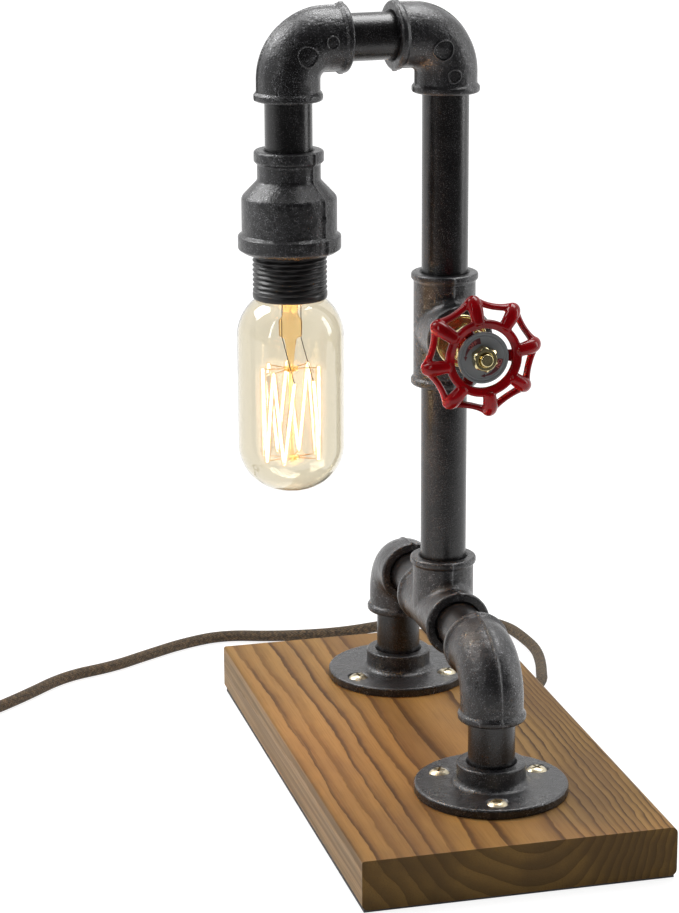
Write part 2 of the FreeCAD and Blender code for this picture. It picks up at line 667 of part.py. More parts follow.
def base_board():
    """Board with its wiring pocket, wire hole, cord hole and screw holes."""
    half = BOARD_WIDTH / 2
    outline = rounded_wire([(-half, BOARD_BOTTOM, BOARD_EDGE_RADIUS), (half, BOARD_BOTTOM, BOARD_EDGE_RADIUS),
                            (half, BOARD_TOP, BOARD_EDGE_RADIUS), (-half, BOARD_TOP, BOARD_CRISP_RADIUS)])
    board = Part.Face(outline).extrude(Vector(0, BOARD_LENGTH, 0))
    board.translate(Vector(0, -BOARD_LENGTH / 2, 0))
    for y in (-LEG_DISTANCE, LEG_DISTANCE):
        angle = FRONT_SCREW_ANGLE if y < 0 else REAR_SCREW_ANGLE
        for place in screw_places(y, angle):
            depth = SCREW_LENGTH - FLANGE_THICKNESS + SCREW_PILOT_SPARE
            pilot = rod(SCREW_SHANK_RADIUS + FIT_CLEARANCE, depth, (place.x, place.y, BOARD_TOP), DOWN)
            board = board.cut(pilot)
    board = board.cut(pocket_block(0, POCKET_DEPTH))
    board = board.cut(pocket_block(COVER_MARGIN, COVER_THICKNESS))
    wire_hole = (REAR_WIRE_HOLE.x, REAR_WIRE_HOLE.y, BOARD_BOTTOM)
    board = board.cut(rod(WIRE_HOLE_RADIUS, BOARD_THICKNESS, wire_hole))
    reach = SLEEVE_OUTSIDE + CORD_HOLE_DEPTH
    board = board.cut(rod(SLEEVE_RADIUS + FIT_CLEARANCE, reach, SLEEVE_TIP, -EXIT_DIRECTION))
    for place in cover_screw_places():
        board = board.cut(rod(COVER_SCREW_RADIUS + FIT_CLEARANCE, COVER_SCREW_LENGTH, place))
    clamp_pilot = CLAMP_SCREW_DEPTH + CLAMP_PILOT_SPARE
    for place in clamp_screw_places():
        board = board.cut(rod(CLAMP_SCREW_RADIUS + FIT_CLEARANCE, clamp_pilot, place))
    return board


def felt_sheet():
    """Felt sheet glued under the board."""
    width = BOARD_WIDTH - 2 * FELT_INSET
    length = BOARD_LENGTH - 2 * FELT_INSET
    return Part.makeBox(width, length, FELT_THICKNESS, Vector(-width / 2, -length / 2, 0))


def cover_countersink(extra):
    """Cone and shank of a cover screw above the board's underside, wider by extra."""
    head = COVER_SCREW_HEAD_RADIUS + extra
    shank = COVER_SCREW_RADIUS + extra
    cone = Part.makeCone(head, shank, head - shank, Vector(0, 0, BOARD_BOTTOM))
    return fused([cone, rod(shank, COVER_SCREW_LENGTH, (0, 0, BOARD_BOTTOM))])


def channel_cover():
    """Cover plate of the wiring pocket, flush with the board's underside."""
    plate = pocket_block(COVER_MARGIN - SOFT_CLEARANCE, COVER_THICKNESS - FIT_CLEARANCE)
    for place in cover_screw_places():
        cutter = cover_countersink(FIT_CLEARANCE)
        cutter.translate(Vector(place.x, place.y, 0))
        plate = plate.cut(cutter)
    return plate


def cover_screws():
    """Small countersunk screws of the cover plate."""
    screws = []
    for place in cover_screw_places():
        screw = cover_countersink(0)
        length, width, depth = COVER_SCREW_SLOT
        slot = Part.makeBox(length, width, 2 * depth, Vector(-length / 2, -width / 2, BOARD_BOTTOM - depth))
        screw = screw.cut(slot)
        screw.translate(Vector(place.x, place.y, 0))
        screws.append(screw)
    return group(screws)


def clamp_screw_places():
    """Tops of the cord clamp's screw holes, where the clamp meets the pocket's ceiling."""
    middle = EXIT_ON_SIDE - EXIT_DIRECTION * (CLAMP_START + CLAMP_LENGTH / 2)
    across = EXIT_DIRECTION.cross(Vector(0, 0, 1))
    ceiling = Vector(0, 0, POCKET_CEILING - CORD_EXIT_HEIGHT)
    return [middle + across * side * CLAMP_SCREW_OFFSET + ceiling for side in (-1, 1)]


def cord_clamp():
    """Block that holds the cord against the pocket's ceiling, with its cord and screw holes."""
    height = POCKET_CEILING - CLAMP_BOTTOM
    block = Part.makeBox(CLAMP_LENGTH, CLAMP_WIDTH, height, Vector(0, -CLAMP_WIDTH / 2, 0))
    start = EXIT_ON_SIDE - EXIT_DIRECTION * (CLAMP_START + CLAMP_LENGTH)
    block = placed(block, (start.x, start.y, CLAMP_BOTTOM), UP, tuple(EXIT_DIRECTION))
    block = block.cut(rod(CORD_RADIUS + FIT_CLEARANCE, CLAMP_LENGTH, start, EXIT_DIRECTION))
    for place in clamp_screw_places():
        block = block.cut(rod(CLAMP_SCREW_RADIUS + FIT_CLEARANCE, height, place, DOWN))
    return block


def clamp_screws():
    """The cord clamp's two screws, driven up into the board."""
    length = POCKET_CEILING - CLAMP_BOTTOM + CLAMP_SCREW_DEPTH
    screws = []
    for place in clamp_screw_places():
        foot = (place.x, place.y, CLAMP_BOTTOM)
        head = rod(2 * CLAMP_SCREW_RADIUS, CLAMP_SCREW_HEAD, foot, DOWN)
        screws.append(fused([rod(CLAMP_SCREW_RADIUS, length, foot), head]))
    return group(screws)


def cord_sleeve():
    """Tapered sleeve around the cord where it leaves the board."""
    length = SLEEVE_INSIDE + SLEEVE_OUTSIDE
    bore = CORD_RADIUS + FIT_CLEARANCE
    body = lathe([(bore, 0, 0), (SLEEVE_RADIUS, 0, SLEEVE_EDGE_ROUND),
                  (SLEEVE_RADIUS, SLEEVE_INSIDE + SLEEVE_TAPER_START, SLEEVE_TAPER_ROUND),
                  (SLEEVE_TIP_RADIUS, length, SLEEVE_EDGE_ROUND), (bore, length, 0)])
    start = EXIT_ON_SIDE - EXIT_DIRECTION * SLEEVE_INSIDE
    return placed(body, start, EXIT_DIRECTION)


# ---------------------------------------------------------------- wiring

def inlet_cord():
    """Cord between the sleeve's tip and the clamp's inner end."""
    length = SLEEVE_OUTSIDE + CLAMP_START + CLAMP_LENGTH
    return rod(CORD_RADIUS, length, SLEEVE_TIP, -EXIT_DIRECTION)


def lower_flex():
    """Flex from the clamp through the rear leg and the lower column to the switch."""
    start = EXIT_ON_SIDE - EXIT_DIRECTION * (CLAMP_START + CLAMP_LENGTH)
    end = COLUMN + Vector(0, 0, VALVE_Z - SWITCH_TERMINAL_OUTER)
    first_corner = EXIT_ON_SIDE - EXIT_DIRECTION * FLEX_FIRST_CORNER
    slack_corner = Vector(*FLEX_SLACK_CORNER, CORD_EXIT_HEIGHT)
    points = [start, first_corner, slack_corner, REAR_WIRE_HOLE, COLUMN + Vector(0, LEG_DISTANCE, LEG_RUN_Z),
              COLUMN + Vector(0, 0, LEG_RUN_Z), end]
    radii = list(FLEX_FLOOR_BENDS) + [FITTING_BEND_RADIUS, FLEX_BEND_RADIUS]
    return swept_rod(points, radii, FLEX_RADIUS)


def upper_flex():
    """Flex from the switch up the column to the swivelling elbow."""
    bottom = VALVE_Z + SWITCH_TERMINAL_OUTER
    return on_column(rod(FLEX_RADIUS, SWIVEL_Z - bottom, (0, 0, bottom)))


def neutral_core():
    """The core that passes the switch from the lower flex to the upper one."""
    y = CORE_WIRE_RADIUS + CORE_WIRE_GAP
    bottom = VALVE_Z - SWITCH_TERMINAL_OUTER
    return on_column(rod(CORE_WIRE_RADIUS, 2 * SWITCH_TERMINAL_OUTER, (0, y, bottom)))


def arm_flex():
    """Flex from the swivelling elbow through the arm to the lamp holder's terminals."""
    points = [(0, 0, SWIVEL_Z), (0, 0, ARM_Z), (-ARM_LENGTH, 0, ARM_Z), (-ARM_LENGTH, 0, TERMINAL_TOP)]
    return on_arm(swept_rod(points, [FITTING_BEND_RADIUS] * 2, FLEX_RADIUS))


# ---------------------------------------------------------------- switch and handwheel

def forwards(shape, distance):
    """Set a shape made along +Z at a distance in front of the column, pointing to the front."""
    return placed(shape, (COLUMN_OFFSET, -distance, VALVE_Z), FRONT, (1, 0, 0))


def bonnet():
    """Brass bonnet: thread in the tee's branch, flange on its face, hexagon in front."""
    thread = rod(PIPE_RADIUS, BONNET_THREAD_LENGTH, (0, 0, -BONNET_THREAD_LENGTH))
    disc = lathe([(0, 0, 0), (BONNET_FLANGE_RADIUS, 0, BONNET_FLANGE_ROUND),
                  (BONNET_FLANGE_RADIUS, BONNET_FLANGE_THICKNESS, BONNET_FLANGE_ROUND),
                  (0, BONNET_FLANGE_THICKNESS, 0)])
    nose = hexagon_bar(BONNET_HEX, BONNET_HEX_LENGTH, HEX_CHAMFER)
    nose.translate(Vector(0, 0, BONNET_FLANGE_THICKNESS))
    front = BONNET_FLANGE_THICKNESS + BONNET_HEX_LENGTH
    body = fused([thread, disc, nose])
    bore_length = BONNET_THREAD_LENGTH + front
    body = body.cut(rod(STEM_RADIUS + FIT_CLEARANCE, bore_length, (0, 0, -BONNET_THREAD_LENGTH)))
    body = body.cut(rod(PACKING_RING_RADIUS, PACKING_RING_LENGTH, (0, 0, front - PACKING_RING_LENGTH)))
    return forwards(body, BRANCH_FACE)


def packing_ring():
    """Sealing ring around the stem, in the bonnet's front."""
    front = BONNET_FLANGE_THICKNESS + BONNET_HEX_LENGTH
    ring = tube(PACKING_RING_RADIUS - FIT_CLEARANCE, STEM_RADIUS + FIT_CLEARANCE, PACKING_RING_LENGTH,
                (0, 0, front - PACKING_RING_LENGTH))
    return forwards(ring, BRANCH_FACE)


def packing_nut():
    """Brass gland nut in front of the bonnet."""
    front = BONNET_FLANGE_THICKNESS + BONNET_HEX_LENGTH
    nut = hexagon_bar(PACKING_HEX, PACKING_HEX_LENGTH, HEX_CHAMFER)
    nut.rotate(Vector(0, 0, 0), Vector(0, 0, 1), PACKING_HEX_TURN)
    nut = nut.cut(rod(STEM_RADIUS + FIT_CLEARANCE, PACKING_HEX_LENGTH))
    nut.translate(Vector(0, 0, front))
    return forwards(nut, BRANCH_FACE)


def switch_back():
    """Distance of the switch body's front from the column's axis."""
    return BRANCH_FACE - BONNET_THREAD_LENGTH


def rotor_front():
    """Distance of the rotor's front from the column's axis."""
    return switch_back() - ROTOR_END_GAP


def valve_stem():
    """Stem from the rotor to just past the wheel's nut."""
    start = rotor_front()
    end = WHEEL_PLANE + WHEEL_HUB_FRONT + DIAL_THICKNESS + WHEEL_NUT_LENGTH + STEM_TIP_LENGTH
    length = end - start
    body = lathe([(0, 0, 0), (STEM_RADIUS, 0, 0), (STEM_RADIUS, length, STEM_TIP_ROUND), (0, length, 0)])
    return forwards(body, start)


def switch_rotor():
    """Cam on the stem's inner end, with two flats that lift the contact leaves."""
    body = rod(ROTOR_RADIUS, ROTOR_LENGTH)
    flat = ROTOR_RADIUS - ROTOR_FLAT_DEPTH
    for x in (flat, -ROTOR_RADIUS):
        corner = Vector(x, -ROTOR_RADIUS, 0)
        body = body.cut(Part.makeBox(ROTOR_FLAT_DEPTH, 2 * ROTOR_RADIUS, ROTOR_LENGTH, corner))
    return forwards(body, rotor_front() - ROTOR_LENGTH)


def switch_body():
    """Insulating housing of the switch, with the rotor's cavity open to the front."""
    body = rod(SWITCH_BODY_RADIUS, SWITCH_BODY_LENGTH)
    floor = SWITCH_BODY_LENGTH - SWITCH_CAVITY_LENGTH
    body = body.cut(rod(SWITCH_CAVITY_RADIUS, SWITCH_CAVITY_LENGTH, (0, 0, floor)))
    return forwards(body, switch_back() - SWITCH_BODY_LENGTH)


def switch_contacts():
    """Two spring leaves on the cavity's wall beside the rotor."""
    start = switch_back() - SWITCH_CAVITY_LENGTH
    outer = math.sqrt(SWITCH_CAVITY_RADIUS ** 2 - (LEAF_WIDTH / 2) ** 2) - FIT_CLEARANCE
    leaves = []
    for corner in (outer - LEAF_THICKNESS, -outer):
        leaf = Part.makeBox(LEAF_WIDTH, LEAF_THICKNESS, LEAF_LENGTH, Vector(-LEAF_WIDTH / 2, corner, 0))
        leaves.append(forwards(leaf, start))
    return group(leaves)


def switch_terminals():
    """Two brass blocks behind the switch that take the live core's ends."""
    back = switch_back() - SWITCH_BODY_LENGTH
    height = SWITCH_TERMINAL_OUTER - SWITCH_TERMINAL_INNER
    blocks = []
    for bottom in (-SWITCH_TERMINAL_OUTER, SWITCH_TERMINAL_INNER):
        corner = Vector(COLUMN_OFFSET - SWITCH_TERMINAL_WIDTH / 2, -back, VALVE_Z + bottom)
        blocks.append(Part.makeBox(SWITCH_TERMINAL_WIDTH, back, height, corner))
    return group(blocks)


def rim_segment():
    """One scallop of the wheel's rim, between two spokes, in the wheel's own plane."""
    half = math.pi / WHEEL_SPOKES
    start = Vector(WHEEL_RIM_TIP * math.cos(half), -WHEEL_RIM_TIP * math.sin(half), 0)
    end = Vector(start.x, -start.y, 0)
    arc = Part.Arc(start, Vector(WHEEL_RIM_WAIST, 0, 0), end).toShape()
    heading = arc.tangentAt(arc.FirstParameter)
    section = Part.Face(Part.Wire(Part.makeCircle(WHEEL_RIM_RADIUS, start, heading)))
    return Part.Wire([arc]).makePipe(section)


def wheel_pieces():
    """Ring, spokes with round ends, scalloped rim, arms and hub of the handwheel."""
    half_width, half_depth = WHEEL_RING_WIDTH / 2, WHEEL_RING_DEPTH / 2
    inner, outer = WHEEL_RING_RADIUS - half_width, WHEEL_RING_RADIUS + half_width
    curve = WHEEL_RING_ROUND
    ring = lathe([(inner, -half_depth, curve), (outer, -half_depth, curve), (outer, half_depth, curve),
                  (inner, half_depth, curve)])
    hub = lathe([(0, -WHEEL_HUB_BACK, 0), (WHEEL_HUB_RADIUS, -WHEEL_HUB_BACK, WHEEL_HUB_ROUND),
                 (WHEEL_HUB_RADIUS, WHEEL_HUB_FRONT, WHEEL_HUB_FRONT_ROUND), (0, WHEEL_HUB_FRONT, 0)])
    pieces = [ring, hub]
    spoke_end = WHEEL_TIP_RADIUS - WHEEL_SPOKE_RADIUS
    step = 360.0 / WHEEL_SPOKES
    for index in range(WHEEL_SPOKES):
        spoke = rod(WHEEL_SPOKE_RADIUS, spoke_end - WHEEL_RING_RADIUS, (WHEEL_RING_RADIUS, 0, 0), (1, 0, 0))
        knuckle = Part.makeSphere(WHEEL_SPOKE_RADIUS, Vector(spoke_end, 0, 0))
        for piece, angle in ((spoke, 0), (knuckle, 0), (rim_segment(), step / 2)):
            piece.rotate(Vector(0, 0, 0), Vector(0, 0, 1), WHEEL_FIRST_SPOKE + step * index + angle)
            pieces.append(piece)
    for index in range(WHEEL_ARM_COUNT):
        arm = Part.makeBox(WHEEL_RING_RADIUS, WHEEL_ARM_WIDTH, WHEEL_ARM_THICKNESS,
                           Vector(0, -WHEEL_ARM_WIDTH / 2, -WHEEL_ARM_THICKNESS / 2))
        arm.rotate(Vector(0, 0, 0), Vector(0, 0, 1), 360.0 * index / WHEEL_ARM_COUNT)
        pieces.append(arm)
    return pieces


def handwheel():
    """Cast handwheel with the stem's bore."""
    body = fused(wheel_pieces())
    bore_length = WHEEL_HUB_BACK + WHEEL_HUB_FRONT
    body = body.cut(rod(STEM_RADIUS + FIT_CLEARANCE, bore_length, (0, 0, -WHEEL_HUB_BACK)))
    return forwards(body, WHEEL_PLANE)


def dial_plate():
    """Round plate with a raised rim in front of the wheel's hub."""
    bore = STEM_RADIUS + FIT_CLEARANCE
    top = DIAL_THICKNESS
    inner = DIAL_RADIUS - DIAL_RIM_WIDTH
    body = lathe([(bore, 0, 0), (DIAL_RADIUS, 0, 0), (DIAL_RADIUS, top + DIAL_RIM_HEIGHT, 0),
                  (inner, top + DIAL_RIM_HEIGHT, 0), (inner, top, 0), (bore, top, 0)])
    return forwards(body, WHEEL_PLANE + WHEEL_HUB_FRONT)


def wheel_nut():
    """Hexagon nut that holds the dial plate and the wheel on the stem."""
    nut = hexagon_bar(WHEEL_NUT_HEX, WHEEL_NUT_LENGTH, WHEEL_NUT_CHAMFER)
    nut = nut.cut(rod(STEM_RADIUS + FIT_CLEARANCE, WHEEL_NUT_LENGTH))
    nut.rotate(Vector(0, 0, 0), Vector(0, 0, 1), WHEEL_NUT_TURN)
    return forwards(nut, WHEEL_PLANE + WHEEL_HUB_FRONT + DIAL_THICKNESS)


# ---------------------------------------------------------------- lamp holder

def holder_shell():
    """Black threaded tube of the lamp holder, ridged where it shows."""
    corners = [(HOLDER_BORE_RADIUS, HOLDER_TOP, 0), (HOLDER_RADIUS, HOLDER_TOP, 0)]
    root = HOLDER_RADIUS - HOLDER_THREAD_DEPTH
    ridges = int((HOLDER_VISIBLE_LENGTH - HOLDER_THREAD_PITCH) / HOLDER_THREAD_PITCH)
    for index in range(ridges):
        valley = REDUCER_BOTTOM - HOLDER_THREAD_PITCH * (index + 0.5)
        corners.append((HOLDER_RADIUS, valley + HOLDER_THREAD_FLANK, 0))
        corners.append((root, valley, HOLDER_THREAD_ROOT_ROUND))
        corners.append((HOLDER_RADIUS, valley - HOLDER_THREAD_FLANK, 0))
    mouth = HOLDER_BORE_RADIUS + HOLDER_MOUTH_CHAMFER
    corners.append((HOLDER_RADIUS, HOLDER_BOTTOM + HOLDER_EDGE_HEIGHT, HOLDER_EDGE_ROUND))
    corners.append((mouth, HOLDER_BOTTOM, 0))
    corners.append((HOLDER_BORE_RADIUS, HOLDER_BOTTOM + HOLDER_MOUTH_CHAMFER, 0))
    return on_drop(lathe(corners))


def screw_shell_radius():
    """Inner radius of the lamp holder's brass screw shell."""
    return CAP_RADIUS + 2 * FIT_CLEARANCE


def holder_core():
    """Insulating cup of the lamp holder, with the contact's seat and a wire hole."""
    outer = HOLDER_BORE_RADIUS - FIT_CLEARANCE
    inner = screw_shell_radius() + SCREW_SHELL_WALL + FIT_CLEARANCE
    lip = CORE_BOTTOM - SCREW_SHELL_LENGTH - CORE_LIP
    return on_drop(lathe([(0, CORE_BOTTOM, 0), (inner, CORE_BOTTOM, 0), (inner, lip, 0), (outer, lip, 0),
                          (outer, CORE_TOP, CORE_EDGE_ROUND), (0, CORE_TOP, 0)]))


def screw_shell():
    """Brass screw shell that carries the bulb's cap."""
    inner = screw_shell_radius()
    bottom = CORE_BOTTOM - SCREW_SHELL_LENGTH
    return on_drop(tube(inner + SCREW_SHELL_WALL, inner, SCREW_SHELL_LENGTH, (0, 0, bottom)))


def centre_contact():
    """Brass centre contact under the lamp holder's core."""
    return on_drop(rod(CONTACT_RADIUS, CONTACT_THICKNESS, (0, 0, CONTACT_BOTTOM)))


def holder_terminals():
    """Two terminal blocks on top of the lamp holder's core."""
    blocks = []
    for x in (TERMINAL_START, -TERMINAL_START - TERMINAL_WIDTH):
        corner = Vector(x, -TERMINAL_DEPTH / 2, CORE_TOP)
        blocks.append(on_drop(Part.makeBox(TERMINAL_WIDTH, TERMINAL_DEPTH, TERMINAL_HEIGHT, corner)))
    return group(blocks)


# ---------------------------------------------------------------- bulb

def bulb_neck_radius():
    """Outer radius of the envelope's neck, which the cap goes over."""
    return CAP_RADIUS - CAP_WALL - FIT_CLEARANCE


def bulb_outline(inset):
    """Corners of the envelope's outside, moved inwards by a wall."""
    radius = BULB_RADIUS - inset
    bottom = BULB_BOTTOM + inset
    neck = bulb_neck_radius() - inset
    shoulder = HOLDER_BOTTOM - BULB_SHOULDER_DROP
    neck_start = HOLDER_BOTTOM + BULB_SHOULDER_RISE
    neck_end = neck_start + BULB_NECK_LENGTH
    curve = BULB_FOOT_CURVE - inset
    return [(0, bottom, 0), (radius, bottom, curve), (radius, shoulder, curve),
            (neck, neck_start, BULB_NECK_FILLET), (neck, neck_end, 0), (0, neck_end, 0)]


def bulb_glass():
    """Hollow glass envelope, open at its neck's end inside the cap."""
    return on_drop(lathe(bulb_outline(0)).cut(lathe(bulb_outline(BULB_WALL))))


def bulb_cap():
    """Metal screw cap around the neck."""
    inner = CAP_RADIUS - CAP_WALL
    top_hole = CAP_INSULATOR_TOP_RADIUS + CAP_INSULATOR_FLARE
    shoulder = CAP_TOP - CAP_SHOULDER_HEIGHT
    return on_drop(lathe([(inner, CAP_BOTTOM, 0), (CAP_RADIUS, CAP_BOTTOM, 0),
                          (CAP_RADIUS, shoulder, CAP_SHOULDER_ROUND), (top_hole, CAP_TOP, 0),
                          (top_hole, CAP_TOP - CAP_WALL, 0), (inner, shoulder - CAP_WALL, 0)]))


def cap_insulator():
    """Black glass cone between the cap and its tip."""
    wide = CAP_INSULATOR_TOP_RADIUS + CAP_INSULATOR_FLARE
    return on_drop(lathe([(0, CAP_TOP + FIT_CLEARANCE, 0), (wide, CAP_TOP + FIT_CLEARANCE, 0),
                          (CAP_INSULATOR_TOP_RADIUS, INSULATOR_TOP, 0), (0, INSULATOR_TOP, 0)]))


def cap_tip():
    """Solder tip of the bulb's cap."""
    return on_drop(rod(TIP_RADIUS, TIP_HEIGHT, (0, 0, INSULATOR_TOP)))


def bulb_stem():
    """Glass stem: flare at the neck, flat press, bead, rod and the two support stars."""
    press_top = HOLDER_BOTTOM - PRESS_TOP
    press_bottom = press_top - PRESS_LENGTH
    bead_bottom = press_bottom - STEM_BEAD_LENGTH
    neck_end = HOLDER_BOTTOM + BULB_SHOULDER_RISE + BULB_NECK_LENGTH
    flare_radius = bulb_neck_radius() - BULB_WALL - FIT_CLEARANCE
    tube_foot = press_top - STEM_JOIN
    flare = lathe([(0, tube_foot, 0), (STEM_TUBE_FOOT_RADIUS, tube_foot, 0),
                   (STEM_TUBE_TOP_RADIUS, HOLDER_BOTTOM - STEM_TUBE_DROP, STEM_TUBE_ROUND),
                   (flare_radius, neck_end - STEM_FLARE_RIM, 0), (flare_radius, neck_end, 0),
                   (0, neck_end, 0)])
    press = Part.makeBox(PRESS_WIDTH, PRESS_THICKNESS, PRESS_LENGTH,
                         Vector(-PRESS_WIDTH / 2, -PRESS_THICKNESS / 2, press_bottom))
    press.rotate(Vector(0, 0, 0), Vector(0, 0, 1), PRESS_TURN)
    bead = Part.makeCone(STEM_BEAD_FOOT_RADIUS, STEM_BEAD_RADIUS, STEM_BEAD_LENGTH + STEM_JOIN,
                         Vector(0, 0, bead_bottom))
    rod_bottom = HOLDER_BOTTOM - LOWER_STAR
    shaft = rod(ROD_RADIUS, bead_bottom + STEM_JOIN - rod_bottom, (0, 0, rod_bottom))
    stars = [rod(STAR_RADIUS, STAR_THICKNESS, (0, 0, HOLDER_BOTTOM - star - STAR_THICKNESS / 2))
             for star in (UPPER_STAR, LOWER_STAR)]
    return on_drop(fused([flare, press, bead, shaft] + stars))


def cage_point(index, height):
    """A point of the filament cage, numbered round it in half loops."""
    angle = math.radians(CAGE_FIRST_ANGLE) + math.pi * index / CAGE_LOOPS
    return Vector(CAGE_RADIUS * math.cos(angle), CAGE_RADIUS * math.sin(angle), height)


def cage_height(index):
    """Height of one of the filament's bends; its two ends hang lower than the upper star."""
    if index % 2:
        return HOLDER_BOTTOM - LOWER_STAR
    drop = CAGE_ENDS_DROP if index in (0, CAGE_LAST) else 0
    return HOLDER_BOTTOM - UPPER_STAR - drop


def filament():
    """Zigzag filament between the upper and the lower star, open at one place for its leads."""
    points = [cage_point(index, cage_height(index)) for index in range(CAGE_LAST + 1)]
    pieces = [Part.makeSphere(FILAMENT_RADIUS, points[0])]
    for start, end in zip(points, points[1:]):
        run = end - start
        pieces.append(rod(FILAMENT_RADIUS, run.Length, start, run))
        pieces.append(Part.makeSphere(FILAMENT_RADIUS, end))
    return on_drop(fused(pieces))


def filament_hooks():
    """Support wires from the stars out to the filament's bends."""
    hooks = []
    for index in range(1, CAGE_LAST):
        star = UPPER_STAR if index % 2 == 0 else LOWER_STAR
        outward = cage_point(index, 0).normalize()
        start = outward * (STAR_RADIUS + FIT_CLEARANCE) + Vector(0, 0, HOLDER_BOTTOM - star)
        reach = CAGE_RADIUS - FILAMENT_RADIUS - STAR_RADIUS - 2 * FIT_CLEARANCE
        hooks.append(on_drop(rod(HOOK_RADIUS, reach, start, outward)))
    return group(hooks)


def lead_wires():
    """Two wires from the glass press down to the filament's ends."""
    press_bottom = HOLDER_BOTTOM - PRESS_TOP - PRESS_LENGTH
    turn = math.radians(PRESS_TURN)
    wires = []
    for index, along in ((0, FIRST_LEAD_START), (CAGE_LAST, LAST_LEAD_START)):
        start = Vector(along * math.cos(turn), along * math.sin(turn), press_bottom - LEAD_WIRE_RADIUS)
        end = cage_point(index, cage_height(index) + 2 * FILAMENT_RADIUS)
        run = end - start
        wires.append(on_drop(rod(LEAD_WIRE_RADIUS, run.Length, start, run)))
    return group(wires)


# ---------------------------------------------------------------- free cord and plug

def cord_coil():
    """Outer form of the coiled cord: a ring, with short straight stubs where the cord enters and leaves."""
    cord = 2 * CORD_RADIUS
    outer = COIL_OUTER_TURN + CORD_RADIUS
    inner = outer - cord * COIL_TURNS_WIDE
    height = cord * COIL_LAYERS
    x, y = COIL_CENTRE
    ring = lathe([(inner, 0, COIL_ROUND), (outer, 0, COIL_ROUND), (outer, height, COIL_ROUND),
                  (inner, height, COIL_ROUND)])
    ring.translate(Vector(x, y, 0))
    entry = rod(CORD_RADIUS, COIL_STUB, (x, y + COIL_OUTER_TURN, CORD_RADIUS), (1, 0, 0))
    leaving = rod(CORD_RADIUS, COIL_STUB, (x - COIL_OUTER_TURN, y, height - CORD_RADIUS), FRONT)
    return fused([ring, entry, leaving])


def plug_direction():
    """Heading of the tail's last run, which the plug continues."""
    return (Vector(*TAIL_ROUTE[-1]) - Vector(*TAIL_ROUTE[-2])).normalize()


def plug_frame(shape, distance):
    """Set a shape made along +Z at a distance past the tail's end, flat on the table."""
    heading = plug_direction()
    level = Vector(heading.x, heading.y, 0).normalize()
    start = Vector(*TAIL_ROUTE[-1]) + level * distance
    across = Vector(0, 0, 1).cross(level)
    return placed(shape, start, tuple(level), tuple(across))


def plug_body():
    """Flat two-pin plug that widens towards the pins, with the sleeve moulded on its neck."""
    sleeve = lathe([(0, 0, 0), (CORD_RADIUS + PLUG_SLEEVE_WALL, 0, SLEEVE_EDGE_ROUND),
                    (PLUG_SLEEVE_RADIUS, PLUG_SLEEVE_LENGTH, 0), (0, PLUG_SLEEVE_LENGTH, 0)])
    neck, wide = PLUG_NECK_WIDTH / 2, PLUG_WIDTH / 2
    outline = rounded_wire([(-neck, 0, PLUG_NECK_ROUND), (neck, 0, PLUG_NECK_ROUND),
                            (wide, PLUG_WIDEST, PLUG_SHOULDER_ROUND), (wide, PLUG_LENGTH, PLUG_FACE_ROUND),
                            (-wide, PLUG_LENGTH, PLUG_FACE_ROUND), (-wide, PLUG_WIDEST, PLUG_SHOULDER_ROUND)])
    body = Part.Face(outline).extrude(Vector(0, PLUG_THICKNESS, 0))
    body.translate(Vector(0, -PLUG_THICKNESS / 2, 0))
    edges = [edge for edge in body.Edges if abs(abs(edge.CenterOfMass.y) - PLUG_THICKNESS / 2) < 0.01]
    body = body.makeFillet(PLUG_EDGE_ROUND, edges)
    body.translate(Vector(0, 0, PLUG_SLEEVE_LENGTH))
    return plug_frame(fused([body, sleeve]), 0)


def plug_pins():
    """Two round contact pins."""
    pins = []
    for x in (-PIN_SPACING / 2, PIN_SPACING / 2):
        pin = lathe([(0, 0, 0), (PIN_RADIUS, 0, 0), (PIN_RADIUS, PIN_LENGTH, PIN_TIP_ROUND),
                     (0, PIN_LENGTH, 0)])
        pin.translate(Vector(x, 0, 0))
        pins.append(plug_frame(pin, PLUG_SLEEVE_LENGTH + PLUG_LENGTH))
    return group(pins)


def report_cord(name, points, solid):
    """Print a cord's arc radii, and its volume beside its section times its length."""
    radii = cord_radii(points)
    length = route_wire(points, radii).Length
    expected = math.pi * CORD_RADIUS ** 2 * length
    print(name, "length", round(length, 1), "least radius", round(min(radii), 1))
    print(name, "radii", [round(radius) for radius in radii])
    print(name, "volume", round(solid.Volume), "section times length", round(expected))


# ---------------------------------------------------------------- assembly

def leg_parts(name, side):
    """Flange, riser, elbow and cross nipple of one leg; side is -1 in front and 1 behind."""
    y = side * LEG_DISTANCE
    angle = FRONT_SCREW_ANGLE if side < 0 else REAR_SCREW_ANGLE
    towards_column = (0, -side, 0)
    cross_start = (COLUMN_OFFSET, y - side * FITTING_REACH, LEG_RUN_Z)
    bend = placed(elbow(), (COLUMN_OFFSET, y, LEG_RUN_Z), DOWN, towards_column)
    return {
        name + "_flange": screwed_flange(y, angle),
        name + "_riser_nipple": placed(nipple(RISER_GAP), (COLUMN_OFFSET, y, FLANGE_HUB_TOP), UP),
        name + "_leg_elbow": bend,
        name + "_cross_nipple": placed(nipple(CROSS_GAP), cross_start, towards_column),
    }


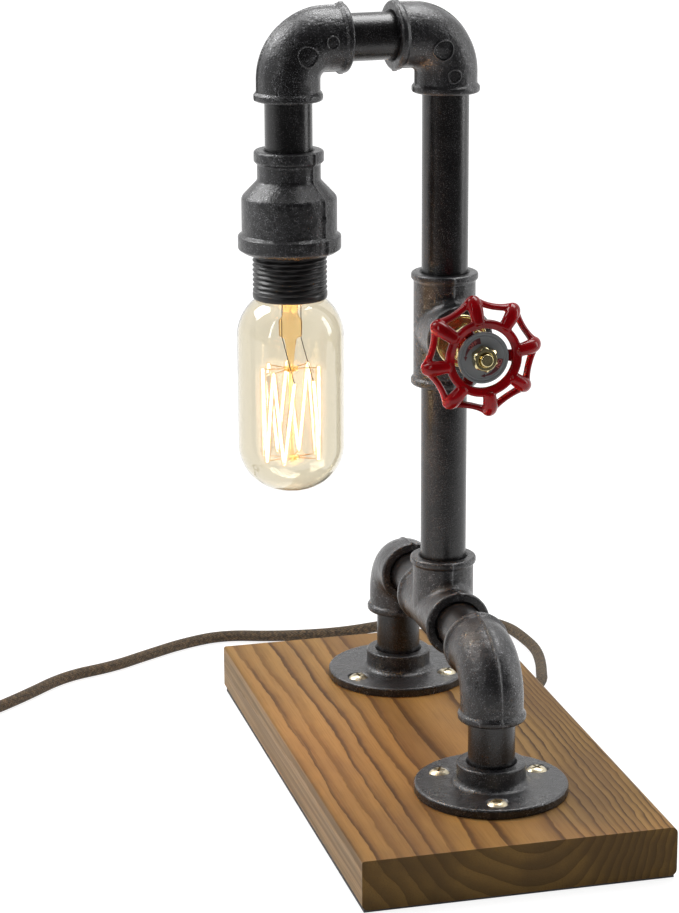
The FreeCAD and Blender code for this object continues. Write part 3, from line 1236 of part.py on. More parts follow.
def column_parts():
    """Tees, column pipes and the switch's fixed parts."""
    lower_start = (COLUMN_OFFSET, 0, LEG_RUN_Z + FITTING_REACH)
    upper_start = (COLUMN_OFFSET, 0, VALVE_Z + FITTING_REACH)
    return {
        "base_tee": placed(tee(), (COLUMN_OFFSET, 0, LEG_RUN_Z), REAR, UP),
        "lower_column_pipe": placed(nipple(COLUMN_LOWER_GAP), lower_start, UP),
        "valve_tee": placed(tee(), (COLUMN_OFFSET, 0, VALVE_Z), UP, FRONT),
        "upper_column_pipe": placed(nipple(COLUMN_UPPER_GAP), upper_start, UP),
        "bonnet": bonnet(),
        "packing_ring": packing_ring(),
        "packing_nut": packing_nut(),
        "switch_body": switch_body(),
        "switch_contacts": switch_contacts(),
        "switch_terminals": switch_terminals(),
    }


def wheel_parts():
    """Everything that turns with the handwheel."""
    return {
        "valve_stem": valve_stem(),
        "switch_rotor": switch_rotor(),
        "handwheel": handwheel(),
        "dial_plate": dial_plate(),
        "wheel_nut": wheel_nut(),
    }


def arm_parts():
    """Everything that swings on the column's top thread, without the bulb."""
    return {
        "column_elbow": on_arm(placed(elbow(), (0, 0, ARM_Z), DOWN, LEFT)),
        "arm_nipple": on_arm(placed(nipple(ARM_GAP), (-FITTING_REACH, 0, ARM_Z), LEFT)),
        "drop_elbow": on_arm(placed(elbow(), (-ARM_LENGTH, 0, ARM_Z), DOWN, (1, 0, 0))),
        "drop_nipple": on_drop(placed(nipple(DROP_GAP), (0, 0, REDUCER_TOP), UP)),
        "reducing_socket": on_drop(reducing_socket()),
        "holder_shell": holder_shell(),
        "holder_core": holder_core(),
        "screw_shell": screw_shell(),
        "centre_contact": centre_contact(),
        "holder_terminals": holder_terminals(),
        "arm_flex": arm_flex(),
    }


def bulb_parts():
    """The bulb, down to its filament."""
    return {
        "bulb_glass": bulb_glass(),
        "bulb_cap": bulb_cap(),
        "cap_insulator": cap_insulator(),
        "cap_tip": cap_tip(),
        "bulb_stem": bulb_stem(),
        "filament": filament(),
        "filament_hooks": filament_hooks(),
        "lead_wires": lead_wires(),
    }


def base_parts():
    """Board, its underside and the wiring inside the stand."""
    return {
        "base_board": base_board(),
        "felt_sheet": felt_sheet(),
        "flange_screws": flange_screws(),
        "channel_cover": channel_cover(),
        "cover_screws": cover_screws(),
        "cord_clamp": cord_clamp(),
        "clamp_screws": clamp_screws(),
        "cord_sleeve": cord_sleeve(),
        "inlet_cord": inlet_cord(),
        "lower_flex": lower_flex(),
        "upper_flex": upper_flex(),
        "neutral_core": neutral_core(),
    }


def cord_parts():
    """The free cord, its coil, its tail and the plug."""
    return {
        "mains_cord": swept_rod(CORD_ROUTE, cord_radii(CORD_ROUTE), CORD_RADIUS),
        "cord_coil": cord_coil(),
        "cord_tail": swept_rod(TAIL_ROUTE, cord_radii(TAIL_ROUTE), CORD_RADIUS),
        "plug_body": plug_body(),
        "plug_pins": plug_pins(),
    }


def main():
    """Make every sub-part and write each to its own file."""
    os.makedirs("parts", exist_ok=True)
    parts = {}
    for made in (base_parts(), leg_parts("front", -1), leg_parts("rear", 1), column_parts(), wheel_parts(),
                 arm_parts(), bulb_parts(), cord_parts()):
        parts.update(made)
    for name, shape in parts.items():
        if not shape.isValid():
            print("not valid:", name)
        shape.exportStep(os.path.join("parts", name + ".step"))
        print(name, "solids", len(shape.Solids), "volume", round(shape.Volume, 1))
    report_cord("mains_cord", CORD_ROUTE, parts["mains_cord"])
    report_cord("cord_tail", TAIL_ROUTE, parts["cord_tail"])


main()
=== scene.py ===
"""Dresses the pipe lamp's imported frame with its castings, wheel, bulb, cord and finishes."""

import logging
import math
from collections.abc import Callable, Sequence
from dataclasses import dataclass
from enum import Enum

import bpy
import numpy as np
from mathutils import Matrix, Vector


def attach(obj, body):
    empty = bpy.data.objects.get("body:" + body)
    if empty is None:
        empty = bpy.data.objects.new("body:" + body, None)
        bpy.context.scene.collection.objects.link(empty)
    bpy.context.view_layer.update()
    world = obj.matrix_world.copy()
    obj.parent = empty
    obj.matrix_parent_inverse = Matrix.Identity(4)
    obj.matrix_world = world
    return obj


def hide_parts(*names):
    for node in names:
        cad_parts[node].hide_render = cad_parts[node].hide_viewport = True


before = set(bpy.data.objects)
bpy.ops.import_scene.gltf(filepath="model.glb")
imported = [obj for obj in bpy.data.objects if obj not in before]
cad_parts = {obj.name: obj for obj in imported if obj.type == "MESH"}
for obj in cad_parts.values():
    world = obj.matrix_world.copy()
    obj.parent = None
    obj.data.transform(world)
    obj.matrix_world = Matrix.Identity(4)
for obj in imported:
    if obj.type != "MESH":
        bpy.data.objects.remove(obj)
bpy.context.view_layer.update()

LOG = logging.getLogger("lamp")
MM = 0.001
TURN = 2 * math.pi
SEAM_HEIGHT = 0.6
SEAM_HALF_ANGLE = 0.042
SEAM_STATIONS = np.array([-0.13, -0.075, -0.04, 0.0, 0.04, 0.075, 0.13])
CLOSEST_ANGLES = 0.012
SECTION_POINTS = 64
Point = tuple[float, float, float]
Colour = tuple[float, float, float]


class Body(Enum):
    """The moving bodies that a piece can ride on."""

    STAND = "stand"
    WHEEL = "handwheel"
    ARM = "arm"
    BULB = "bulb"


# ---------------------------------------------------------------- surfaces

@dataclass(frozen=True)
class Skin:
    """Points in millimetres, and faces as a flat list of corners with each face's corner count."""

    points: np.ndarray
    corners: np.ndarray
    counts: np.ndarray
    uv: np.ndarray

    def placed(self, axis: "Axis") -> "Skin":
        """The same skin, moved from an axis' own coordinates into the model's."""
        return Skin(axis.place(self.points), self.corners, self.counts, self.uv)


def joined(skins: Sequence[Skin]) -> Skin:
    """Several skins as one, each still closed by itself.

    Args:
        skins: the skins to put together.

    Returns:
        One skin with all points and faces.
    """
    starts = np.cumsum([0] + [len(skin.points) for skin in skins[:-1]])
    corners = [skin.corners + start for skin, start in zip(skins, starts)]
    return Skin(np.concatenate([skin.points for skin in skins]), np.concatenate(corners),
                np.concatenate([skin.counts for skin in skins]), np.concatenate([skin.uv for skin in skins]))


@dataclass(frozen=True)
class Axis:
    """A right-handed frame: origin in millimetres, its z direction and its x direction."""

    origin: Point
    z: Point = (0.0, 0.0, 1.0)
    x: Point = (1.0, 0.0, 0.0)

    def basis(self) -> np.ndarray:
        """Rows are the unit x, y and z directions; y is z cross x."""
        z, x = unit(np.array(self.z, float)), unit(np.array(self.x, float))
        return np.array([x, np.cross(z, x), z])

    def place(self, points: np.ndarray) -> np.ndarray:
        """Model coordinates of points given along this frame's x, y and z."""
        return points @ self.basis() + np.array(self.origin)


def spun(angle: float, origin: Point = (0.0, 0.0, 0.0)) -> Axis:
    """Upright frame turned about z by an angle in radians."""
    return Axis(origin, x=(math.cos(angle), math.sin(angle), 0))


def unit(vectors: np.ndarray) -> np.ndarray:
    """Vectors made one long: v / |v|."""
    return vectors / np.linalg.norm(vectors, axis=-1, keepdims=True)


def headings(path: np.ndarray, loop: bool = False) -> np.ndarray:
    """Unit direction of a path at each point, from its neighbours on both sides."""
    return unit(np.roll(path, -1, 0) - np.roll(path, 1, 0) if loop else np.gradient(path, axis=0))


def same(direction: Sequence[float], path: np.ndarray) -> np.ndarray:
    """One direction for every point of a path."""
    return np.tile(np.array(direction, float), (len(path), 1))


def distances(path: np.ndarray) -> np.ndarray:
    """Distance of each point along a path from its first."""
    return np.append(0, np.cumsum(np.linalg.norm(np.diff(path, axis=0), axis=1)))


def polar(radius: np.ndarray | float, angle: np.ndarray, height: np.ndarray | float) -> np.ndarray:
    """Points (r cos a, r sin a, h)."""
    return np.stack([radius * np.cos(angle), radius * np.sin(angle), height + 0 * angle], -1)


def grid(points: np.ndarray, ring: bool = False, start: np.ndarray | None = None,
         end: np.ndarray | None = None, uv: np.ndarray | None = None) -> Skin:
    """Skin over a grid of points whose columns close on themselves.

    Row i and column j give the corner (i, j); a face joins (i, j), (i, j+1), (i+1, j+1), (i+1, j), so it
    faces outwards when the columns run anticlockwise about the direction in which the rows advance.

    Args:
        points: rows by columns by 3.
        ring: the last row also joins the first.
        start: a single point that closes the first row.
        end: a single point that closes the last row.
        uv: rows by columns by 2; its seam column is worked out one step on.

    Returns:
        The closed skin.
    """
    rows, columns = points.shape[:2]
    index = np.arange(rows * columns).reshape(rows, columns)
    if ring:
        index = np.vstack([index, index[:1]])
    wrapped = np.hstack([index, index[:, :1]])
    quads = np.stack([wrapped[:-1, :-1], wrapped[:-1, 1:], wrapped[1:, 1:], wrapped[1:, :-1]], -1)
    count = quads.shape[0] * quads.shape[1]
    if uv is None:
        uv_corners = np.zeros((count * 4, 2))
    else:
        step = uv[:, 1:2] - uv[:, :1]
        step[..., 1] = 0
        wide = np.concatenate([uv, uv[:, -1:] + step], axis=1)
        wide = np.concatenate([wide, wide[:1]]) if ring else wide
        uv_corners = np.stack([wide[:-1, :-1], wide[:-1, 1:], wide[1:, 1:], wide[1:, :-1]], 2).reshape(-1, 2)
    vertices = [points.reshape(-1, 3)]
    corners, counts = [quads.reshape(-1)], [np.full(count, 4)]
    around = np.arange(columns)
    following = np.roll(around, -1)
    total = rows * columns
    for pole, row, flip in ((start, 0, True), (end, rows - 1, False)):
        if pole is None:
            continue
        first, second = row * columns + around, row * columns + following
        pair = (second, first) if flip else (first, second)
        fan = np.stack([np.full(columns, total), *pair], 1)
        vertices.append(np.array(pole, float).reshape(1, 3))
        corners.append(fan.reshape(-1))
        counts.append(np.full(columns, 3))
        uv_corners = np.concatenate([uv_corners, np.zeros((columns * 3, 2))])
        total += 1
    return Skin(np.concatenate(vertices), np.concatenate(corners), np.concatenate(counts), uv_corners)


def rounded(corners: Sequence[Point], steps: int = 6, closed: bool = False) -> np.ndarray:
    """Outline through corners (a, b, radius), each turned into a tangent arc of its radius.

    An arc begins radius / tan(half the corner's angle) before the corner, and its centre lies on the
    bisector at radius / sin(half the angle).

    Args:
        corners: the two coordinates and the arc's radius; 0 keeps the corner sharp.
        steps: pieces in each arc.
        closed: the last corner joins the first.

    Returns:
        The outline's points, n by 2.
    """
    ends = () if closed else (0, len(corners) - 1)
    points = np.array([corner[:2] for corner in corners], float)
    runs = []
    for index, (_, _, radius) in enumerate(corners):
        here = points[index]
        if radius == 0 or index in ends:
            runs.append(here.reshape(1, 2))
            continue
        before, after = unit(points[index - 1] - here), unit(points[(index + 1) % len(points)] - here)
        half = math.acos(float(np.clip(before @ after, -1, 1))) / 2
        centre = here + unit(before + after) * radius / math.sin(half)
        first = here + before * radius / math.tan(half) - centre
        last = here + after * radius / math.tan(half) - centre
        begin = math.atan2(first[1], first[0])
        sweep = (math.atan2(last[1], last[0]) - begin + math.pi) % TURN - math.pi
        angles = begin + sweep * np.linspace(0, 1, steps + 1)
        runs.append(centre + radius * np.stack([np.cos(angles), np.sin(angles)], 1))
    return np.concatenate(runs)


def refined(outline: np.ndarray, step: float) -> np.ndarray:
    """The same outline with extra points, so that no two are further apart than a step.

    Args:
        outline: its points, n by 2.
        step: the longest piece allowed.

    Returns:
        More points on the same lines.
    """
    lengths = np.linalg.norm(np.diff(outline, axis=0), axis=1)
    counts = np.maximum(1, np.ceil(lengths / step)).astype(int)
    runs = [start + (end - start) * np.arange(count)[:, None] / count
            for start, end, count in zip(outline[:-1], outline[1:], counts)]
    return np.concatenate(runs + [outline[-1:]])


def ring_angles(count: int, seams: Sequence[float] = ()) -> np.ndarray:
    """Angles round a section, even ones plus a close group at each casting seam.

    Args:
        count: how many even angles.
        seams: the seams' angles.

    Returns:
        The angles, rising.
    """
    even = np.arange(count) * TURN / count + 0.5 * TURN / count
    near = [(seam + SEAM_STATIONS) % TURN for seam in seams]
    gathered = np.unique(np.round(np.concatenate([even, *near]), 5))
    return gathered[np.append(True, np.diff(gathered) > CLOSEST_ANGLES)]


def seam_height(angles: np.ndarray, seams: Sequence[float]) -> np.ndarray:
    """Height of the parting lines round a section: a bell curve exp(-(offset / half angle)^2) at each.

    Args:
        angles: the angles of a section.
        seams: the seams' angles.

    Returns:
        A height for each angle.
    """
    total = np.zeros_like(angles)
    for seam in seams:
        off = (angles - seam + math.pi) % TURN - math.pi
        total = total + SEAM_HEIGHT * np.exp(-(off / SEAM_HALF_ANGLE) ** 2)
    return total


def lathe(profile: np.ndarray, angles: np.ndarray | int = 72, ring: bool = False,
          extra: Callable[[np.ndarray, np.ndarray, np.ndarray], np.ndarray] | None = None) -> Skin:
    """Surface of revolution about z: point = (r cos a, r sin a, h).

    Args:
        profile: radius and height, n by 2, running up the outside. An end at radius 0 closes in a pole.
        angles: the angles round the axis, or how many even ones.
        ring: the profile is closed, as for a wall with a bore.
        extra: given radius, height and angle grids, how much is added to the radius.

    Returns:
        The turned skin.
    """
    around = np.arange(angles) * TURN / angles if isinstance(angles, int) else angles
    start = end = None
    if not ring and profile[0, 0] < 1e-9:
        start, profile = np.array([0, 0, profile[0, 1]]), profile[1:]
    if not ring and profile[-1, 0] < 1e-9:
        end, profile = np.array([0, 0, profile[-1, 1]]), profile[:-1]
    radius = np.repeat(profile[:, :1], len(around), 1)
    height = np.repeat(profile[:, 1:], len(around), 1)
    angle = np.broadcast_to(around, radius.shape)
    if extra is not None:
        radius = radius + extra(radius, height, angle)
    return grid(polar(radius, angle, height), ring, start, end)


def tube(path: np.ndarray, side: np.ndarray, other: np.ndarray, first: np.ndarray | float,
         second: np.ndarray | float, columns: int = 16, uv: np.ndarray | None = None,
         loop: bool = False) -> Skin:
    """Elliptical section carried along a path: point = p + first cos a side + second sin a other.

    Args:
        path: n by 3.
        side: unit direction of the first half-width at each path point.
        other: unit direction of the second; side cross other points along the path.
        first: half-width along side, one or n values.
        second: half-width along other, one or n values.
        columns: points round the section.
        uv: n by columns by 2, or none.
        loop: the path closes on itself.

    Returns:
        The skin, closed by a pole at each end of an open path.
    """
    angle = (np.arange(columns) * TURN / columns)[None, :, None]
    one = np.broadcast_to(np.asarray(first, float), len(path))[:, None, None]
    two = np.broadcast_to(np.asarray(second, float), len(path))[:, None, None]
    points = path[:, None] + one * np.cos(angle) * side[:, None] + two * np.sin(angle) * other[:, None]
    if loop:
        return grid(points, True, uv=uv)
    return grid(points, False, path[0], path[-1], uv)


def hexagon(across: float, profile: np.ndarray, rounding: float = 0.35) -> Skin:
    """Hexagonal nut skin: each profile radius is held inside a hexagon with softened corners.

    The hexagon's radius at angle a is flat / cos(a's offset from the nearest flat); the smaller of it and
    the profile's radius is kept, which gives the curved chamfers of a turned bar.

    Args:
        across: width across the flats.
        profile: radius and height of the turned form, closed as a ring.
        rounding: how much the corners are taken back.

    Returns:
        The closed skin about z.
    """
    flat = across / 2
    corner = flat / math.cos(math.pi / 6) - rounding
    corners = np.arange(6)[:, None] * TURN / 6 + math.pi / 6 + np.array([-0.06, -0.03, 0.03, 0.06])
    around = np.unique(np.concatenate([np.arange(120) * TURN / 120, corners.ravel() % TURN]))
    offset = (around + math.pi / 6) % (TURN / 6) - math.pi / 6
    limit = np.minimum(flat / np.cos(offset), corner)

    def held(radius: np.ndarray, height: np.ndarray, angle: np.ndarray) -> np.ndarray:
        """Radius change that keeps a point inside the hexagon."""
        return np.minimum(radius, limit[None, :]) - radius

    return lathe(profile, around, True, held)


def build_mesh(name: str, skin: Skin) -> bpy.types.Mesh:
    """Blender mesh of a skin, in metres and smooth shaded, with its UV map.

    Args:
        name: the mesh's name.
        skin: the points and faces.

    Returns:
        The new mesh.
    """
    mesh = bpy.data.meshes.new(name)
    starts = np.concatenate([[0], np.cumsum(skin.counts)[:-1]]).astype(np.int32)
    mesh.vertices.add(len(skin.points))
    mesh.vertices.foreach_set("co", (skin.points * MM).astype(np.float32).ravel())
    mesh.loops.add(len(skin.corners))
    mesh.loops.foreach_set("vertex_index", skin.corners.astype(np.int32))
    mesh.polygons.add(len(skin.counts))
    mesh.polygons.foreach_set("loop_start", starts)
    mesh.polygons.foreach_set("use_smooth", np.ones(len(skin.counts), bool))
    mesh.update(calc_edges=True)
    layer = mesh.uv_layers.new(name="UVMap")
    layer.data.foreach_set("uv", skin.uv.astype(np.float32).ravel())
    mesh.validate()
    return mesh


def linked(name: str, data: bpy.types.ID) -> bpy.types.Object:
    """New object in the scene.

    Args:
        name: the object's name.
        data: its mesh, lamp or camera.

    Returns:
        The new object.
    """
    made = bpy.data.objects.new(name, data)
    bpy.context.scene.collection.objects.link(made)
    return made


def make_piece(name: str, skin: Skin, finish: "Finish", body: Body,
               replaced: Sequence[str] = (), sharp: float = 38.0) -> bpy.types.Object:
    """Piece of the model from a skin.

    Args:
        name: the piece's name.
        skin: its closed skin.
        finish: what it is made of.
        body: what it rides on.
        replaced: the frame's nodes that it stands for.
        sharp: faces that meet at more than this many degrees keep a crisp edge.

    Returns:
        The new object.
    """
    mesh = build_mesh(name, skin)
    mesh.set_sharp_from_angle(angle=math.radians(sharp))
    return settle(linked(name, mesh), finish, body, replaced)


def settle(piece: bpy.types.Object, finish: "Finish", body: Body,
           replaced: Sequence[str] = ()) -> bpy.types.Object:
    """Give a linked object its material, body and replaced nodes, and report it.

    Args:
        piece: the object.
        finish: what it is made of.
        body: what it rides on.
        replaced: the frame's nodes that it stands for.

    Returns:
        The same object.
    """
    piece.data.materials.clear()
    piece.data.materials.append(finish.material())
    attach(piece, body.value)
    if replaced:
        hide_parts(*replaced)
    LOG.info("%s: %d faces on %s", piece.name, len(piece.data.polygons), body.value)
    return piece


def traced(curve: bpy.types.Curve) -> tuple[np.ndarray, np.ndarray, np.ndarray]:
    """Read a curve or a text as a mesh, and delete it.

    Args:
        curve: the curve's data.

    Returns:
        Its points, the corners of its faces and each face's corner count.
    """
    holder = bpy.data.objects.new(curve.name, curve)
    mesh = bpy.data.meshes.new_from_object(holder)
    points = np.empty(len(mesh.vertices) * 3, np.float32)
    mesh.vertices.foreach_get("co", points)
    corners = np.empty(len(mesh.loops), np.int32)
    mesh.loops.foreach_get("vertex_index", corners)
    counts = np.empty(len(mesh.polygons), np.int32)
    mesh.polygons.foreach_get("loop_total", counts)
    bpy.data.objects.remove(holder)
    bpy.data.curves.remove(curve)
    bpy.data.meshes.remove(mesh)
    return points.reshape(-1, 3).astype(float), corners, counts


def dress(names: Sequence[str], finish: "Finish") -> None:
    """Give the frame's own nodes a finish.

    Args:
        names: the nodes' names.
        finish: what they are made of.
    """
    for name in names:
        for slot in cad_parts[name].material_slots:
            slot.material = finish.material()
        LOG.info("%s: dressed in %s", name, finish.name)


# ---------------------------------------------------------------- shader expressions

class Wire:
    """An output socket that takes part in arithmetic; each operation adds a Math node."""

    def __init__(self, graph: "Graph", socket: bpy.types.NodeSocket) -> None:
        """Wrap a socket of a graph."""
        self.graph = graph
        self.socket = socket

    def __add__(self, other: "Wire | float") -> "Wire":
        """Sum."""
        return self.graph.maths("ADD", self, other)

    __radd__ = __add__

    def __sub__(self, other: "Wire | float") -> "Wire":
        """Difference."""
        return self.graph.maths("SUBTRACT", self, other)

    def __rsub__(self, other: float) -> "Wire":
        """Difference from a number."""
        return self.graph.maths("SUBTRACT", other, self)

    def __mul__(self, other: "Wire | float") -> "Wire":
        """Product."""
        return self.graph.maths("MULTIPLY", self, other)

    __rmul__ = __mul__


class Graph:
    """Node tree of a material or a world, with a method for each kind of node that is used often."""

    def __init__(self, owner: bpy.types.Material | bpy.types.World) -> None:
        """Start an empty tree in its owner.

        Args:
            owner: the new material or world.
        """
        self.owner = owner
        owner.use_nodes = True
        self.tree = owner.node_tree
        self.tree.nodes.clear()

    def node(self, kind: str, settings: dict | None = None, values: dict | None = None) -> bpy.types.Node:
        """New node.

        Args:
            kind: the node's type.
            settings: its properties, set first.
            values: for each input, by name or number, a wire or a plain value.

        Returns:
            The node.
        """
        made = self.tree.nodes.new(kind)
        for key, value in (settings or {}).items():
            setattr(made, key, value)
        for key, value in (values or {}).items():
            if isinstance(value, Wire):
                self.tree.links.new(value.socket, made.inputs[key])
            else:
                made.inputs[key].default_value = value
        return made

    def wire(self, made: bpy.types.Node, output: int | str = 0) -> Wire:
        """One output of a node."""
        return Wire(self, made.outputs[output])

    def maths(self, operation: str, one: Wire | float, two: Wire | float = 0.0) -> Wire:
        """Math node on one or two values."""
        return self.wire(self.node("ShaderNodeMath", {"operation": operation}, {0: one, 1: two}))

    def smooth(self, value: Wire, low: float, high: float) -> Wire:
        """0 below low, 1 above high and an S-curve between; low may be the larger."""
        return self.wire(self.node("ShaderNodeMapRange", {"interpolation_type": "SMOOTHSTEP"},
                                   {"Value": value, "From Min": low, "From Max": high}))

    def place(self) -> Wire:
        """Object coordinates, in metres."""
        return self.wire(self.node("ShaderNodeTexCoord"), "Object")

    def parts(self, vector: Wire) -> tuple[Wire, Wire, Wire]:
        """The three numbers of a vector."""
        split = self.node("ShaderNodeSeparateXYZ", None, {0: vector})
        return self.wire(split, 0), self.wire(split, 1), self.wire(split, 2)

    def vector(self, x: Wire | float, y: Wire | float, z: Wire | float) -> Wire:
        """Vector from three numbers."""
        return self.wire(self.node("ShaderNodeCombineXYZ", None, {0: x, 1: y, 2: z}))

    def times(self, vector: Wire, factors: Point) -> Wire:
        """Vector multiplied number by number."""
        return self.wire(self.node("ShaderNodeVectorMath", {"operation": "MULTIPLY"},
                                   {0: vector, 1: factors}))

    def noise(self, vector: Wire, scale: float, detail: float = 2.0, rough: float = 0.5) -> Wire:
        """Noise from 0 to 1."""
        return self.wire(self.node("ShaderNodeTexNoise", None,
                                   {"Vector": vector, "Scale": scale, "Detail": detail, "Roughness": rough}))

    def mix(self, factor: Wire | float, one: Wire | Colour, two: Wire | Colour) -> Wire:
        """Mixed colour.

        Args:
            factor: 0 for the first colour, 1 for the second.
            one: the first.
            two: the second.

        Returns:
            The mixed colour.
        """
        colours = [value if isinstance(value, Wire) else (*value, 1) for value in (one, two)]
        made = self.node("ShaderNodeMix", {"data_type": "RGBA"}, {0: factor, 6: colours[0], 7: colours[1]})
        return self.wire(made, 2)

    def bump(self, height: Wire, distance: float, strength: float = 1.0) -> Wire:
        """Normal from a height; distance is the height's scale in metres."""
        return self.wire(self.node("ShaderNodeBump", None,
                                   {"Height": height, "Distance": distance, "Strength": strength}))

    def seen_directly(self) -> tuple[Wire, Wire]:
        """1 on a ray from the camera or through glass, and 1 on a mirrored ray.

        Returns:
            The two masks.
        """
        rays = self.node("ShaderNodeLightPath")
        seen = self.wire(rays, "Is Camera Ray") + self.wire(rays, "Is Transmission Ray")
        return self.maths("MINIMUM", seen, 1.0), self.wire(rays, "Is Glossy Ray")

    def painted(self, values: dict, **outputs: Wire) -> bpy.types.Material:
        """Finish the material with a Principled shader.

        Args:
            values: a plain number, a colour or a wire for each of the shader's inputs.
            outputs: wires for other sockets of the output, such as its Volume.

        Returns:
            The material.
        """
        fixed = {key: (*value, 1) if isinstance(value, tuple) else value for key, value in values.items()}
        return self.done(self.wire(self.node("ShaderNodeBsdfPrincipled", None, fixed)), **outputs)

    def done(self, surface: Wire, **outputs: Wire) -> bpy.types.Material:
        """Connect the surface, and what else the output takes, and give back the material."""
        self.node("ShaderNodeOutputMaterial", None, {"Surface": surface, **outputs})
        return self.owner


# ---------------------------------------------------------------- finishes

@dataclass(frozen=True)
class Finish:
    """A finish makes its material once and hands out the same one after that."""

    name: str

    def material(self) -> bpy.types.Material:
        """The finish's material."""
        known = bpy.data.materials.get(self.name)
        return known or self.build(Graph(bpy.data.materials.new(self.name)))

    def build(self, graph: Graph) -> bpy.types.Material:
        """Fill a new material's graph."""
        raise NotImplementedError


@dataclass(frozen=True)
class CastIron(Finish):
    """Black malleable iron: lacquered sand grain that glints, with small dents."""

    colour: Colour = (0.0045, 0.0042, 0.0048)
    worn: Colour = (0.0115, 0.011, 0.0125)
    glint: Colour = (0.2, 0.2, 0.21)
    roughness: float = 0.22
    grain: float = 0.00022

    def build(self, graph: Graph) -> bpy.types.Material:
        """Sand grain and slow dents in the bump, oil film in the colour, bare glinting grains of metal.

        Args:
            graph: the new material's empty graph.

        Returns:
            The material.
        """
        place = graph.place()
        sand = graph.noise(place, 1400, 2, 0.75)
        dents = graph.noise(place, 210, 2)
        film = graph.noise(place, 60, 4, 0.65)
        patch = graph.noise(place, 320, 2, 0.6)
        glint = graph.smooth(graph.noise(place, 2100, 1) + (patch - 0.5) * 0.3, 0.6, 0.72)
        colour = graph.mix(graph.smooth(film, 0.35, 0.75), self.colour, self.worn)
        return graph.painted({"Base Color": graph.mix(glint, colour, self.glint),
                              "Roughness": self.roughness + film * 0.12, "Specular IOR Level": 0.6,
                              "Metallic": glint * 0.85, "Normal": graph.bump(sand + dents * 2.2, self.grain)})


@dataclass(frozen=True)
class BlackPipe(Finish):
    """Black steel pipe: smoother than the castings, speckled by the pickled surface under its lacquer."""

    colour: Colour = (0.0036, 0.0033, 0.0036)
    worn: Colour = (0.0085, 0.0078, 0.0083)
    glint: Colour = (0.11, 0.108, 0.11)
    grain: float = 0.00009

    def build(self, graph: Graph) -> bpy.types.Material:
        """Patchy scale over a smooth wall, with fine bare specks.

        Args:
            graph: the new material's empty graph.

        Returns:
            The material.
        """
        place = graph.place()
        patches = graph.noise(place, 95, 5, 0.7)
        fine = graph.noise(place, 1300, 2, 0.7)
        glint = graph.smooth(graph.noise(place, 2200, 1) + (patches - 0.5) * 0.3, 0.59, 0.73)
        colour = graph.mix(graph.smooth(patches, 0.38, 0.72), self.colour, self.worn)
        return graph.painted({"Base Color": graph.mix(glint * 0.8, colour, self.glint),
                              "Roughness": 0.16 + patches * 0.14, "Specular IOR Level": 0.5,
                              "Metallic": glint * 0.7,
                              "Normal": graph.bump(fine + patches * 0.8, self.grain)})


